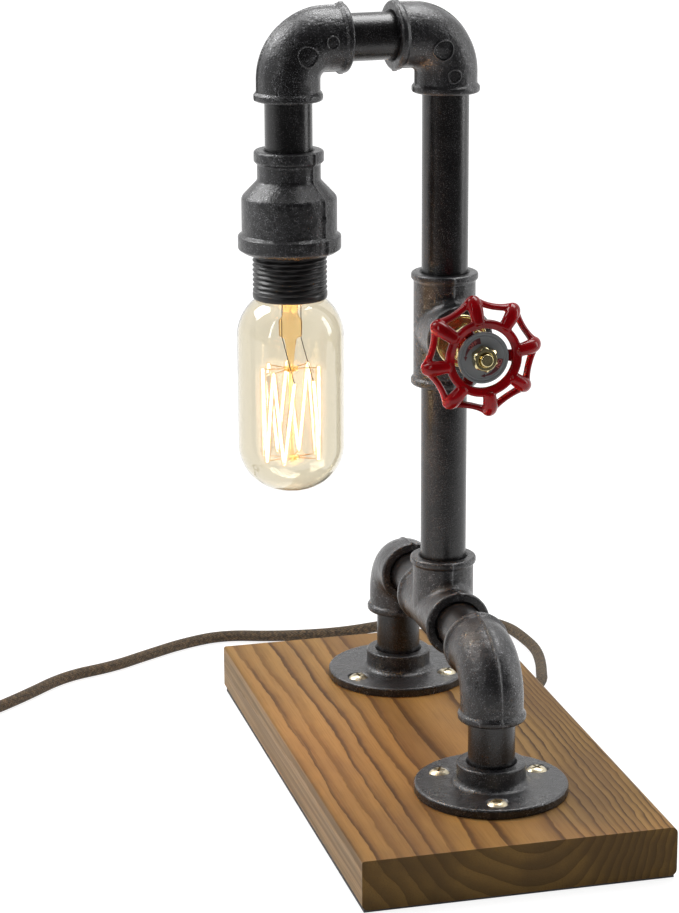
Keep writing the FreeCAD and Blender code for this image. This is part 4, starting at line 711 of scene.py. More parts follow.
@dataclass(frozen=True)
class Timber(Finish):
    """Stained softwood plank sawn through the heart side: growth rings about a line above the board.

    The ring distance of a point is sqrt((x - heart_x)^2 + (z - heart_z)^2), bent by slow waves along the
    plank; its fraction of a ring width runs from pale early wood to a dark line. Beyond crowd_from the rings
    crowd together as the square of the distance past it.
    """

    heart_x: float = 0.010
    heart_z: float = 0.056
    left_width: float = 0.0078
    first_ring: float = 0.31
    crowding: float = 1650.0
    crowd_from: float = 0.008
    sway: float = 0.017
    waver: float = 0.0023
    pale: Colour = (0.222, 0.125, 0.037)
    middle: Colour = (0.118, 0.06, 0.0165)
    dark: Colour = (0.036, 0.015, 0.0042)
    deep_ring: Colour = (0.12, 0.061, 0.021)
    fibre: Colour = (0.1, 0.048, 0.015)
    streak: Colour = (0.235, 0.135, 0.045)
    patch: Colour = (0.1, 0.052, 0.022)
    side_pale: Colour = (0.27, 0.18, 0.088)
    side_dark: Colour = (0.135, 0.084, 0.036)
    end_pale: Colour = (0.125, 0.071, 0.018)
    end_dark: Colour = (0.044, 0.024, 0.006)
    end_patch: Colour = (0.045, 0.025, 0.0075)
    fibre_depth: float = 0.00016

    def rings(self, graph: Graph, place: Wire) -> tuple[Wire, Wire]:
        """Fraction of the way through a growth ring, and a tone of its own for each ring.

        Args:
            graph: the material's graph.
            place: object coordinates.

        Returns:
            The fraction and the tone.
        """
        x, _, z = graph.parts(place)
        slow = graph.noise(graph.times(place, (1.0, 0.24, 1.0)), 24, 2)
        waves = graph.noise(graph.times(place, (1.0, 0.62, 1.0)), 120, 2, 0.6)
        bent = x + (slow - 0.5) * self.sway + (waves - 0.5) * self.waver
        across = bent - self.heart_x
        depth = z - self.heart_z
        distance = graph.maths("SQRT", across * across + depth * depth)
        past = graph.maths("MAXIMUM", bent - self.crowd_from, 0.0)
        turns = distance * (1 / self.left_width) + past * past * self.crowding + self.first_ring
        tone = graph.noise(graph.vector(graph.maths("FLOOR", turns), 0.0, 0.0), 0.73, 0)
        return graph.maths("FRACT", turns), tone

    def top(self, graph: Graph, place: Wire, phase: Wire, tone: Wire, edge: Wire, fibres: Wire,
            patches: Wire) -> Wire:
        """Colour of the broad face: rings, each with a tone of its own, then fibres, streaks and patches.

        Args:
            graph: the material's graph.
            place: object coordinates.
            phase: fraction of the way through a growth ring.
            tone: the ring's own tone.
            edge: 1 on the ring's dark line.
            fibres: noise drawn out along the plank.
            patches: slow noise.

        Returns:
            The colour.
        """
        streaks = graph.noise(graph.times(place, (1.0, 0.03, 1.0)), 330, 4, 0.6)
        late = graph.smooth(phase, 0.3, 0.86) * graph.smooth(phase, 1.0, 0.93)
        colour = graph.mix(late * 0.9, self.pale, self.middle)
        colour = graph.mix(edge * graph.smooth(tone, 0.2, 0.55) * 0.95, colour, self.dark)
        colour = graph.mix(graph.smooth(tone, 0.45, 0.75) * 0.5, colour, self.deep_ring)
        colour = graph.mix(graph.smooth(fibres, 0.42, 0.75) * 0.42, colour, self.fibre)
        colour = graph.mix(graph.smooth(streaks, 0.5, 0.72) * 0.42, colour, self.streak)
        return graph.mix(graph.smooth(patches, 0.48, 0.66) * 0.42, colour, self.patch)

    def long_side(self, graph: Graph, place: Wire, fibres: Wire) -> Wire:
        """Colour of the long sides: straight grain with darker fibres.

        Args:
            graph: the material's graph.
            place: object coordinates.
            fibres: noise drawn out along the plank.

        Returns:
            The colour.
        """
        grain = graph.noise(graph.times(place, (1.0, 0.012, 1.0)), 420, 3, 0.6)
        colour = graph.mix(graph.smooth(grain, 0.36, 0.66), self.side_dark, self.side_pale)
        return graph.mix(graph.smooth(fibres, 0.45, 0.7) * 0.4, colour, self.side_dark)

    def sawn_end(self, graph: Graph, phase: Wire, pores: Wire, patches: Wire) -> Wire:
        """Colour of the sawn ends: dark rings, open pores and stain that has soaked in by patches.

        Args:
            graph: the material's graph.
            phase: fraction of the way through a growth ring.
            pores: fine noise.
            patches: slow noise.

        Returns:
            The colour.
        """
        colour = graph.mix(graph.smooth(phase, 0.1, 0.95) * 0.6, self.end_pale, self.end_dark)
        colour = graph.mix(graph.smooth(pores, 0.45, 0.68) * 0.62, colour, self.end_dark)
        return graph.mix(graph.smooth(patches, 0.42, 0.6) * 0.5, colour, self.end_patch)

    def build(self, graph: Graph) -> bpy.types.Material:
        """Choose between the faces by the normal, with fibres, ring edges and pores in the bump.

        Args:
            graph: the new material's empty graph.

        Returns:
            The material.
        """
        place = graph.place()
        phase, tone = self.rings(graph, place)
        edge = graph.smooth(phase, 0.7, 0.88) * graph.smooth(phase, 1.0, 0.95)
        fibres = graph.noise(graph.times(place, (1.0, 0.02, 1.0)), 1300, 3, 0.7)
        patches = graph.noise(graph.times(place, (1.0, 0.35, 1.0)), 30, 3)
        pores = graph.noise(graph.times(place, (1.0, 1.0, 2.2)), 1500, 3, 0.7)
        across, along, _ = graph.parts(graph.wire(graph.node("ShaderNodeNewGeometry"), "Normal"))
        side = graph.smooth(graph.maths("ABSOLUTE", across), 0.72, 0.98)
        end = graph.smooth(graph.maths("ABSOLUTE", along), 0.6, 0.95)
        colour = self.top(graph, place, phase, tone, edge, fibres, patches)
        colour = graph.mix(side * 0.85, colour, self.long_side(graph, place, fibres))
        colour = graph.mix(end, colour, self.sawn_end(graph, phase, pores, patches))
        height = fibres * 0.7 - edge * 0.5 + pores * end * 0.5
        return graph.painted({"Base Color": colour, "Roughness": 0.42 + phase * 0.08 + fibres * 0.12,
                              "Normal": graph.bump(height, self.fibre_depth), "Specular IOR Level": 0.13})


@dataclass(frozen=True)
class Enamel(Finish):
    """Thick glossy paint over a casting, pooled a little unevenly."""

    colour: Colour = (0.235, 0.001, 0.0032)
    deep: Colour = (0.125, 0.0006, 0.0018)
    pooling: float = 0.0006

    def build(self, graph: Graph) -> bpy.types.Material:
        """Slow runs in the surface and a darker tone where the coat is thick.

        Args:
            graph: the new material's empty graph.

        Returns:
            The material.
        """
        place = graph.place()
        runs = graph.noise(place, 120, 2)
        thick = graph.noise(place, 60, 3)
        colour = graph.mix(graph.smooth(thick, 0.35, 0.7), self.colour, self.deep)
        return graph.painted({"Base Color": colour, "Roughness": 0.06 + runs * 0.08,
                              "Normal": graph.bump(runs, self.pooling, 0.6), "Specular IOR Level": 0.24})


@dataclass(frozen=True)
class TurnedMetal(Finish):
    """Plated or turned metal with fine tool marks and a little tarnish."""

    colour: Colour = (0.56, 0.47, 0.255)
    tarnish: Colour = (0.33, 0.265, 0.125)
    roughness: float = 0.1
    marks: float = 0.000008

    def build(self, graph: Graph) -> bpy.types.Material:
        """Brighter and duller clouds, with hairline scratches in the bump.

        Args:
            graph: the new material's empty graph.

        Returns:
            The material.
        """
        place = graph.place()
        clouds = graph.noise(place, 210, 4, 0.6)
        hairs = graph.noise(graph.times(place, (1.0, 9.0, 1.0)), 1400, 2)
        colour = graph.mix(graph.smooth(clouds, 0.4, 0.75), self.colour, self.tarnish)
        return graph.painted({"Base Color": colour, "Roughness": self.roughness + clouds * 0.12,
                              "Metallic": 1.0, "Normal": graph.bump(hairs, self.marks)})


@dataclass(frozen=True)
class Moulded(Finish):
    """Moulded plastic, rubber, ceramic or felt: a plain colour with its own surface grain."""

    colour: Colour = (0.02, 0.019, 0.02)
    other: Colour = (0.034, 0.032, 0.034)
    roughness: float = 0.45
    scale: float = 900.0
    depth: float = 0.00006

    def build(self, graph: Graph) -> bpy.types.Material:
        """Two close tones and a fine grain.

        Args:
            graph: the new material's empty graph.

        Returns:
            The material.
        """
        place = graph.place()
        grain = graph.noise(place, self.scale, 3, 0.6)
        clouds = graph.noise(place, self.scale * 0.06, 3)
        colour = graph.mix(graph.smooth(clouds, 0.3, 0.7), self.colour, self.other)
        return graph.painted({"Base Color": colour, "Roughness": self.roughness + grain * 0.12,
                              "Normal": graph.bump(grain, self.depth)})


@dataclass(frozen=True)
class Braid(Finish):
    """Textile braid over a cord: two sets of strands crossing on the piece's own UV map.

    The map's first number goes once round the cord, its second is the length along it in metres. A set of
    strands is a sine of (turns round + lengths along); the two sets lean opposite ways.
    """

    light: Colour = (0.118, 0.077, 0.036)
    dark: Colour = (0.032, 0.021, 0.0095)
    # painted shade: the colour that darkens the low gaps between the strands
    gaps: Colour = (0.018, 0.012, 0.0065)
    strands: float = 8.0
    pitch: float = 0.0042
    relief: float = 0.0004

    def build(self, graph: Graph) -> bpy.types.Material:
        """Over and under strands in colour and bump, with loose fibres; the gaps between strands get painted
        shade.

        Args:
            graph: the new material's empty graph.

        Returns:
            The material.
        """
        u, v, _ = graph.parts(graph.wire(graph.node("ShaderNodeTexCoord"), "UV"))
        around = u * (TURN * self.strands)
        along = v * (TURN / self.pitch)
        one = graph.maths("SINE", around + along)
        two = graph.maths("SINE", around - along)
        over = graph.smooth(graph.maths("SINE", around), -0.25, 0.25)
        height = graph.maths("MAXIMUM", graph.maths("ABSOLUTE", one) * over,
                             graph.maths("ABSOLUTE", two) * (1 - over))
        fibre = graph.noise(graph.place(), 3200, 2)
        fleck = graph.noise(graph.vector(u * 6, v * 260, 0.0), 1.6, 3, 0.7)
        colour = graph.mix(graph.smooth(fleck, 0.36, 0.66), self.dark, self.light)
        # painted shade: the low gaps between the strands darken towards the gap colour
        colour = graph.mix(graph.smooth(height, 0.0, 0.5), self.gaps, colour)
        return graph.painted({"Base Color": colour, "Roughness": 0.78 + fibre * 0.15,
                              "Normal": graph.bump(height + fibre * 0.35, self.relief),
                              "Sheen Weight": 0.05, "Sheen Roughness": 0.5})


@dataclass(frozen=True)
class Glass(Finish):
    """Clear glass with a tint and slow waviness, and an emission colour that paints a glow on it."""

    tint: Colour = (0.84, 0.8, 0.705)
    wave: float = 0.0002
    roughness: float = 0.0
    # painted glow: an emission that stands in for light falling on the glass
    glow: Colour = (0.0, 0.0, 0.0)
    depth: Colour = (0.75, 0.72, 0.55)
    density: float = 90.0

    def build(self, graph: Graph) -> bpy.types.Material:
        """Transmission with a gentle bump, a body that absorbs light with depth, and a painted glow in the
        emission.

        Args:
            graph: the new material's empty graph.

        Returns:
            The material.
        """
        waves = graph.noise(graph.place(), 45, 1)
        colour = graph.mix(waves, self.tint, tuple(value * 0.97 for value in self.tint))
        absorb = graph.wire(graph.node("ShaderNodeVolumeAbsorption", None,
                                       {"Color": (*self.depth, 1.0), "Density": self.density}))
        return graph.painted({"Base Color": colour, "Roughness": self.roughness, "IOR": 1.45,
                              "Transmission Weight": 1.0, "Normal": graph.bump(waves, self.wave, 0.4),
                              "Emission Color": self.glow, "Emission Strength": 1.0}, Volume=absorb)


@dataclass(frozen=True)
class Glow(Finish):
    """Incandescent wire, or with an alpha under 1 the soft painted glow round it; on the filament's hooks it
    is a painted glow.
    """

    colour: Colour = (1.0, 0.86, 0.6)
    edge: Colour = (1.0, 0.7, 0.36)
    strength: float = 7.0
    alpha: float = 1.0
    unlit: Colour = (0.05, 0.03, 0.02)

    def build(self, graph: Graph) -> bpy.types.Material:
        """Colour shifts a little along the wire.

        Args:
            graph: the new material's empty graph.

        Returns:
            The material.
        """
        shift = graph.noise(graph.place(), 300, 1)
        colour = graph.mix(graph.smooth(shift, 0.4, 0.7), self.colour, self.edge)
        return graph.painted({"Base Color": self.unlit, "Roughness": 0.6, "Alpha": self.alpha,
                              "Specular IOR Level": 0.0, "Emission Color": colour,
                              "Emission Strength": self.strength})


IRON = CastIron("cast_iron_black")
PIPE = BlackPipe("pipe_black")
WOOD = Timber("board_wood_stained")
RED = Enamel("wheel_red_enamel")
BRASS = TurnedMetal("brass_bright", (0.76, 0.66, 0.38), (0.46, 0.39, 0.19))
BRASS_DULL = TurnedMetal("brass_contact_dull", (0.5, 0.36, 0.14), (0.3, 0.2, 0.07), 0.32)
ZINC = TurnedMetal("screw_zinc_yellow", (0.62, 0.56, 0.42), (0.36, 0.3, 0.19), 0.3)
STEEL = TurnedMetal("steel_plated", (0.55, 0.55, 0.55), (0.36, 0.36, 0.37), 0.28)
DIAL = Moulded("dial_grey_paint", (0.15, 0.158, 0.165), (0.125, 0.132, 0.139), 0.34, 900.0, 0.00003)
CAP = TurnedMetal("cap_metal_pale", (0.66, 0.6, 0.5), (0.45, 0.4, 0.32), 0.25)
SUPPORT = Moulded("lead_wire_dark", (0.035, 0.028, 0.022), (0.05, 0.04, 0.03), 0.4, 900.0, 0.00002)
HOLDER = Moulded("holder_black", (0.004, 0.0037, 0.004), (0.008, 0.0075, 0.008), 0.3, 700.0, 0.00004)
RUBBER = Moulded("rubber_black", (0.018, 0.017, 0.018), (0.03, 0.028, 0.03), 0.55, 1200.0, 0.00008)
# the felt's dark grey is its own colour and also stands in partly for the painted contact shadow under the
# board's edges
FELT = Moulded("felt_dark_grey", (0.045, 0.043, 0.045), (0.075, 0.072, 0.075), 0.85, 2400.0, 0.0003)
CERAMIC = Moulded("ceramic_off_white", (0.68, 0.66, 0.6), (0.6, 0.58, 0.52), 0.3, 500.0, 0.00003)
COVER = Moulded("cover_black", (0.03, 0.029, 0.03), (0.045, 0.043, 0.045), 0.5, 800.0, 0.00005)
FLEX = Moulded("flex_sheath_beige", (0.45, 0.4, 0.32), (0.38, 0.33, 0.26), 0.5, 1500.0, 0.00004)
BLACK_GLASS = Moulded("cap_glass_black", (0.012, 0.011, 0.013), (0.02, 0.018, 0.02), 0.1, 600.0, 0.00001)
LETTERING = Moulded("dial_red_paint", (0.085, 0.004, 0.009), (0.06, 0.003, 0.007), 0.5, 900.0, 0.00003)
WORDS = Moulded("dial_pale_red_paint", (0.42, 0.1, 0.09), (0.36, 0.08, 0.07), 0.5, 900.0, 0.00003)
CORD = Braid("cord_braid_brown")
TIE = Moulded("tie_black_weave", (0.02, 0.019, 0.02), (0.04, 0.037, 0.036), 0.7, 1600.0, 0.0002)
CLEAR = Glass("bulb_clear_glass")
# the stem's emission is a painted glow of the filament's light on its glass
STEM_GLASS = Glass("bulb_stem_glass", (0.97, 0.82, 0.56), 0.0016, 0.04, (0.12, 0.055, 0.0))
FILAMENT = Glow("filament_glow")
# painted glow: soft light round the filament drawn as see-through glowing tubes
HALO = Glow("filament_halo_glow", (1.0, 0.74, 0.46), (1.0, 0.66, 0.36), 1.25, 0.3)
HAZE = Glow("filament_haze_glow", (1.0, 0.9, 0.74), (1.0, 0.88, 0.7), 1.6, 0.06)
# painted glow: the filament's hooks are given an emission as if lit by it
HOOK = Glow("hook_pale_glow", (0.9, 0.6, 0.3), (0.7, 0.42, 0.18), 0.8)


# ---------------------------------------------------------------- where things are

@dataclass(frozen=True)
class Layout:
    """Main lines of the lamp, in millimetres."""

    column_x: float = 5.2
    leg_y: float = 81.0
    leg_z: float = 87.05
    valve_z: float = 226.05
    arm_z: float = 364.3
    arm_length: float = 76.5
    arm_turn: float = math.radians(5.7)
    reducer_top: float = 315.0
    reducer_bottom: float = 268.25
    holder_bottom: float = 246.65
    bulb_bottom: float = 155.35
    wheel_reach: float = 58.6
    stem_bore: float = 3.05

    def arm_direction(self) -> Point:
        """From the column's elbow towards the drop."""
        return (-math.cos(self.arm_turn), -math.sin(self.arm_turn), 0.0)

    def drop(self, height: float) -> Point:
        """Point of the bulb's axis at a height."""
        along = self.arm_direction()
        return (self.column_x + self.arm_length * along[0], self.arm_length * along[1], height)

    def drop_axis(self) -> Axis:
        """Upright frame on the bulb's axis, turned with the arm, its origin on the table."""
        along = self.arm_direction()
        return Axis(self.drop(0.0), (0, 0, 1), (-along[0], -along[1], 0))

    def wheel_axis(self, distance: float, turn: float = 0.0) -> Axis:
        """Frame facing forwards on the valve's axis, this far in front of the column, turned about it."""
        return Axis((self.column_x, -distance, self.valve_z), (0, -1, 0), (math.cos(turn), 0, math.sin(turn)))


LAYOUT = Layout()


# ---------------------------------------------------------------- cast fittings

@dataclass(frozen=True)
class Mouth:
    """One threaded mouth of a fitting: band, chamfer, socket and waterway, in millimetres."""

    body: float = 14.6
    band: float = 15.8
    band_width: float = 2.8
    slope_end: float = 4.2
    socket: float = 10.97
    chamfer: float = 1.0
    socket_depth: float = 12.4
    waterway: float = 8.2

    def outside(self, length: float) -> np.ndarray:
        """Distance from the face and radius, from the socket's mouth over the band to the body.

        Args:
            length: where the body part ends, measured from the mouth's face.

        Returns:
            Points of (distance, radius).
        """
        return rounded([(self.socket_depth, self.waterway, 0), (self.socket_depth, self.socket, 0),
                        (self.chamfer, self.socket, 0), (0, self.socket + self.chamfer, 0.2),
                        (0, self.band, 1.3), (self.band_width, self.band, 1.2),
                        (self.slope_end, self.body, 0.9), (length, self.body, 0)])

    def seamed(self, radius: np.ndarray, distance: np.ndarray) -> np.ndarray:
        """Where the parting line stands proud: on the body and the band, clear of the mouth's face."""
        return (radius > self.body - 0.5) & (distance > 0.4)


@dataclass(frozen=True)
class Elbow:
    """Quarter elbow with its mouths towards its own +X and +Z.

    A mark is a raised ring: its place along the middle line, its angle in degrees and its radius.
    """

    name: str
    body: Body
    axis: Axis
    marks: tuple[Point, ...] = ()
    seams: tuple[float, ...] = (0.0, math.pi)
    reach: float = 27.0
    straight: float = 9.5
    bead: tuple[float, float] = (0.5, 0.62)
    bead_lift: float = 0.02
    mouth: Mouth = Mouth()

    def bend(self) -> float:
        """Radius of the middle line's bend."""
        return self.reach - self.straight

    def length(self) -> float:
        """Length of the middle line from face to face."""
        return 2 * self.straight + self.bend() * math.pi / 2

    def wall(self, s: np.ndarray, radius: np.ndarray | float, angle: np.ndarray) -> np.ndarray:
        """Points of the wall for a distance along the middle line, a section radius and an angle.

        The section's centre is on a straight run, then on a quarter circle of the bend's radius, then on a
        straight run again. The point is the centre plus radius times (cos a towards the bend's middle +
        sin a sideways).

        Args:
            s: distances along the middle line.
            radius: the section's radius at each.
            angle: the angle round the section at each.

        Returns:
            The points.
        """
        bend = self.bend()
        theta = np.clip((s - self.straight) / bend, 0, math.pi / 2)
        spare = np.minimum(s - self.straight, 0) + np.maximum(s - (self.length() - self.straight), 0)
        zero = np.zeros_like(theta)
        tangent = np.stack([-np.cos(theta), zero, np.sin(theta)], -1)
        inward = np.stack([np.sin(theta), zero, np.cos(theta)], -1)
        centre = np.array([bend, 0, bend]) - bend * inward + tangent * spare[..., None]
        sideways = np.array([0, 1, 0])
        return (centre + (radius * np.cos(angle))[..., None] * inward
                + (radius * np.sin(angle))[..., None] * sideways)

    def mark(self, s: float, angle: float, radius: float) -> Skin:
        """Raised plain circle on the wall: a thin bead whose middle line is a circle drawn on the surface.

        Along the bend a step is stretched by bend / (bend - body cos a), because the wall is shorter inside.

        Args:
            s: where the circle's middle lies along the bend.
            angle: and round it, in degrees.
            radius: the circle's radius.

        Returns:
            The bead.
        """
        turn = np.arange(48) * TURN / 48
        around = math.radians(angle) + radius * np.sin(turn) / self.mouth.body
        stretch = self.bend() / (self.bend() - self.mouth.body * np.cos(around))
        along = s + radius * np.cos(turn) * stretch
        foot = self.mouth.body + self.bead_lift
        path = self.wall(along, foot, around)
        up = self.wall(along, foot + 1, around) - path
        tangent = headings(path, True)
        side = unit(np.cross(up, tangent))
        return tube(path, side, np.cross(tangent, side), *self.bead, 8, loop=True)

    def skin(self) -> Skin:
        """Outer wall from mouth to mouth and waterway back, as one ring of sections, with its marks.

        Returns:
            The elbow in the model's place.
        """
        total = self.length()
        half = self.mouth.outside(self.straight)
        arc = np.linspace(self.straight, total - self.straight, 26)[1:-1]
        outer = np.concatenate([half, np.stack([arc, np.full(len(arc), self.mouth.body)], 1),
                                np.stack([total - half[::-1, 0], half[::-1, 1]], 1)])
        back = np.linspace(total - self.mouth.socket_depth, self.mouth.socket_depth, 18)[1:-1]
        inner = np.stack([back, np.full(len(back), self.mouth.waterway)], 1)
        s, radius = np.concatenate([outer, inner]).T[..., None]
        angles = ring_angles(SECTION_POINTS, self.seams)
        seamed = self.mouth.seamed(radius, np.minimum(s, total - s))
        section = radius + np.where(seamed, seam_height(angles, self.seams)[None, :], 0)
        along, around = np.broadcast_arrays(s, angles[None, :])
        body = grid(self.wall(along, section, around), True)
        return joined([body] + [self.mark(*mark) for mark in self.marks]).placed(self.axis)

    def make(self) -> bpy.types.Object:
        """Build and dress the elbow in its node's place."""
        return make_piece(self.name + "_casting", self.skin(), IRON, self.body, [self.name])


@dataclass(frozen=True)
class Tee:
    """Tee whose run lies along its own Z and whose branch points to its own +X."""

    name: str
    axis: Axis
    reach: float = 27.0
    fillet: float = 4.2
    root: float = 9.0
    mouth: Mouth = Mouth()

    def run(self) -> Skin:
        """Straight wall between the two mouths of the run, turned about its own Z.

        Returns:
            The run about its own Z.
        """
        half = self.mouth.outside(self.reach)[:, ::-1]
        lower = half - np.array([0, self.reach])
        upper = lower[::-1] * np.array([1, -1])
        profile = np.concatenate([lower, upper[1:]])
        seams = (0.0, math.pi)

        def ridge(radius: np.ndarray, height: np.ndarray, angle: np.ndarray) -> np.ndarray:
            """The parting line stands proud of the body and the bands only."""
            return np.where(self.mouth.seamed(radius, self.reach - abs(height)), seam_height(angle, seams), 0)

        return lathe(refined(profile, 6.0), ring_angles(SECTION_POINTS, seams), True, ridge)

    def fillet_arc(self, angles: np.ndarray) -> tuple[np.ndarray, np.ndarray]:
        """Rolling-ball fillet between the branch and the run.

        A ball of the fillet's radius that touches both cylinders has its centre at
        ((body + fillet) cos a, (body + fillet) sin a) across the branch and at
        sqrt((body + fillet)^2 - ((body + fillet) cos a)^2) along it. The fillet is the arc about that
        centre from where the ball touches the run to where it touches the branch.

        Args:
            angles: the angles round the branch.

        Returns:
            The line where it starts on the run, and the arcs as 9 rows of points.
        """
        body, ball = self.mouth.body, self.mouth.body + self.fillet
        y, z = ball * np.cos(angles), ball * np.sin(angles)
        x = np.sqrt(np.maximum(ball ** 2 - y ** 2, 1e-6))
        centre = np.stack([x, y, z], 1)
        on_run = np.stack([x * body / ball, y * body / ball, z], 1)
        on_branch = np.stack([x, y * body / ball, z * body / ball], 1)
        share = np.linspace(0, 1, 9)[:, None, None]
        ray = (1 - share) * (on_run - centre)[None] + share * (on_branch - centre)[None]
        return on_run, centre[None] + self.fillet * unit(ray)

    def branch(self) -> Skin:
        """Branch from a line sunk in the run, over the fillet and the band, and back down its waterway.

        Returns:
            The branch along its own X.
        """
        mouth, seams = self.mouth, (math.pi / 2, 3 * math.pi / 2)
        angles = ring_angles(SECTION_POINTS, seams)
        ridge = seam_height(angles, seams)
        on_run, arc = self.fillet_arc(angles)
        sunk = on_run * np.array([0.9, 0.9, 1.0])
        distance, radius = mouth.outside(mouth.slope_end + 1.2)[::-1].T
        along = np.broadcast_to((self.reach - distance)[:, None], (len(distance), len(angles)))
        share = np.linspace(0, 1, 4)[1:-1, None]
        middle = arc[-1:, :, 0] * (1 - share) + (self.reach - distance[0]) * share
        lift = np.where(mouth.seamed(radius, distance)[:, None], ridge[None], 0)
        back = np.full((1, len(angles)), 1.0)
        tube_x = np.concatenate([middle, along, back * self.root])
        tube_r = np.concatenate([np.full_like(middle, mouth.body) + ridge, radius[:, None] + lift,
                                 back * mouth.waterway])
        walls = np.stack([tube_x, tube_r * np.cos(angles), tube_r * np.sin(angles)], -1)
        outward = np.stack([0 * angles, np.cos(angles), np.sin(angles)], -1)
        arc = arc + np.linspace(0, 1, 9)[:, None, None] * (ridge[:, None] * outward)[None]
        return grid(np.concatenate([sunk[None], arc, walls]), True)

    def make(self) -> bpy.types.Object:
        """Build and dress the tee in its node's place."""
        skin = joined([self.run(), self.branch()]).placed(self.axis)
        return make_piece(self.name + "_casting", skin, IRON, Body.STAND, [self.name])


@dataclass(frozen=True)
class Reducer:
    """Reducing socket under the drop: small beaded mouth above, wide banded mouth below."""

    rim: float = 16.0
    neck: float = 14.5
    barrel: float = 21.85
    band: float = 23.65
    bore: float = 17.25
    socket: float = 10.97
    socket_mouth: float = 11.95
    socket_depth: float = 12.4
    waterway: float = 8.2
    seams: tuple[float, float] = (math.radians(-62), math.radians(118))
    pip_above: float = 17.0
    pip_height: float = 0.9
    pip_radius: float = 1.1

    def skin(self) -> Skin:
        """Turned wall with a parting line on each side and a small casting pip.

        Returns:
            The socket in the model's place.
        """
        top, bottom = LAYOUT.reducer_top, LAYOUT.reducer_bottom
        profile = rounded([
            (self.barrel - 0.6, bottom, 0.5), (self.band, bottom + 1.6, 1.3), (self.band, bottom + 7.5, 0.9),
            (self.barrel, bottom + 8.8, 0.7), (self.barrel, top - 21.4, 3.5), (self.neck, top - 13.7, 2.6),
            (self.neck, top - 6.4, 0.9), (self.rim, top - 5.0, 1.1), (self.rim, top, 1.4),
            (self.socket_mouth, top, 0.2), (self.socket, top - 1, 0),
            (self.socket, top - self.socket_depth, 0), (self.waterway, top - self.socket_depth, 0),
            (self.waterway, bottom + 23, 0), (self.bore, bottom + 19, 0), (self.bore, bottom + 1, 0),
            (self.bore + 1, bottom, 0.2)], closed=True)

        def ridge(radius: np.ndarray, height: np.ndarray, angle: np.ndarray) -> np.ndarray:
            """Parting lines on the outside only, and the pip as a bell curve of a point's distance from it.

            Args:
                radius: the wall's radii.
                height: their heights.
                angle: their angles.

            Returns:
                What is added to the radii.
            """
            line = np.where((radius > self.neck - 0.4) & (height > bottom + 0.3) & (height < top - 0.3),
                            seam_height(angle, self.seams), 0)
            off = ((angle - self.seams[0] + math.pi) % TURN - math.pi) * radius
            up = height - bottom - self.pip_above
            pip = self.pip_height * np.exp(-((off / self.pip_radius) ** 2 + (up / self.pip_radius) ** 2))
            return line + np.where(radius > self.neck, pip, 0)

        fine = refined(np.concatenate([profile, profile[:1]]), 1.5)[:-1]
        return lathe(fine, ring_angles(84, self.seams), True, ridge).placed(LAYOUT.drop_axis())

    def make(self) -> bpy.types.Object:
        """Build and dress the reducing socket."""
        return make_piece("reducing_socket_casting", self.skin(), IRON, Body.ARM,
                          ["reducing_socket"])


@dataclass(frozen=True)
class PipeWork:
    """All fittings and pipes of the stand and the arm."""

    def make(self) -> None:
        """Cast fittings as new pieces, flanges and pipes as the frame gives them."""
        column, along = LAYOUT.column_x, LAYOUT.arm_direction()
        back = (-along[0], -along[1], 0.0)
        down = (0.0, 0.0, -1.0)
        for name, side in (("front_leg_elbow", -1), ("rear_leg_elbow", 1)):
            corner = (column, side * LAYOUT.leg_y, LAYOUT.leg_z)
            Elbow(name, Body.STAND, Axis(corner, down, (0, -side, 0))).make()
        Elbow("column_elbow", Body.ARM, Axis((column, 0, LAYOUT.arm_z), down, along),
              ((22.5, 276.5, 4.6), (37.4, 275.5, 2.9))).make()
        Elbow("drop_elbow", Body.ARM, Axis(LAYOUT.drop(LAYOUT.arm_z), down, back),
              ((24.2, 90.0, 4.6), (10.7, 90.0, 2.8))).make()
        Tee("base_tee", Axis((column, 0, LAYOUT.leg_z), (0, 1, 0), (0, 0, 1))).make()
        Tee("valve_tee", Axis((column, 0, LAYOUT.valve_z), (0, 0, 1), (0, -1, 0))).make()
        Reducer().make()
        dress(["front_flange", "rear_flange"], IRON)
        dress(["front_riser_nipple", "rear_riser_nipple", "front_cross_nipple", "rear_cross_nipple",
               "lower_column_pipe", "upper_column_pipe", "arm_nipple", "drop_nipple"], PIPE)
        dress(["flange_screws"], ZINC)


# ---------------------------------------------------------------- handwheel and valve

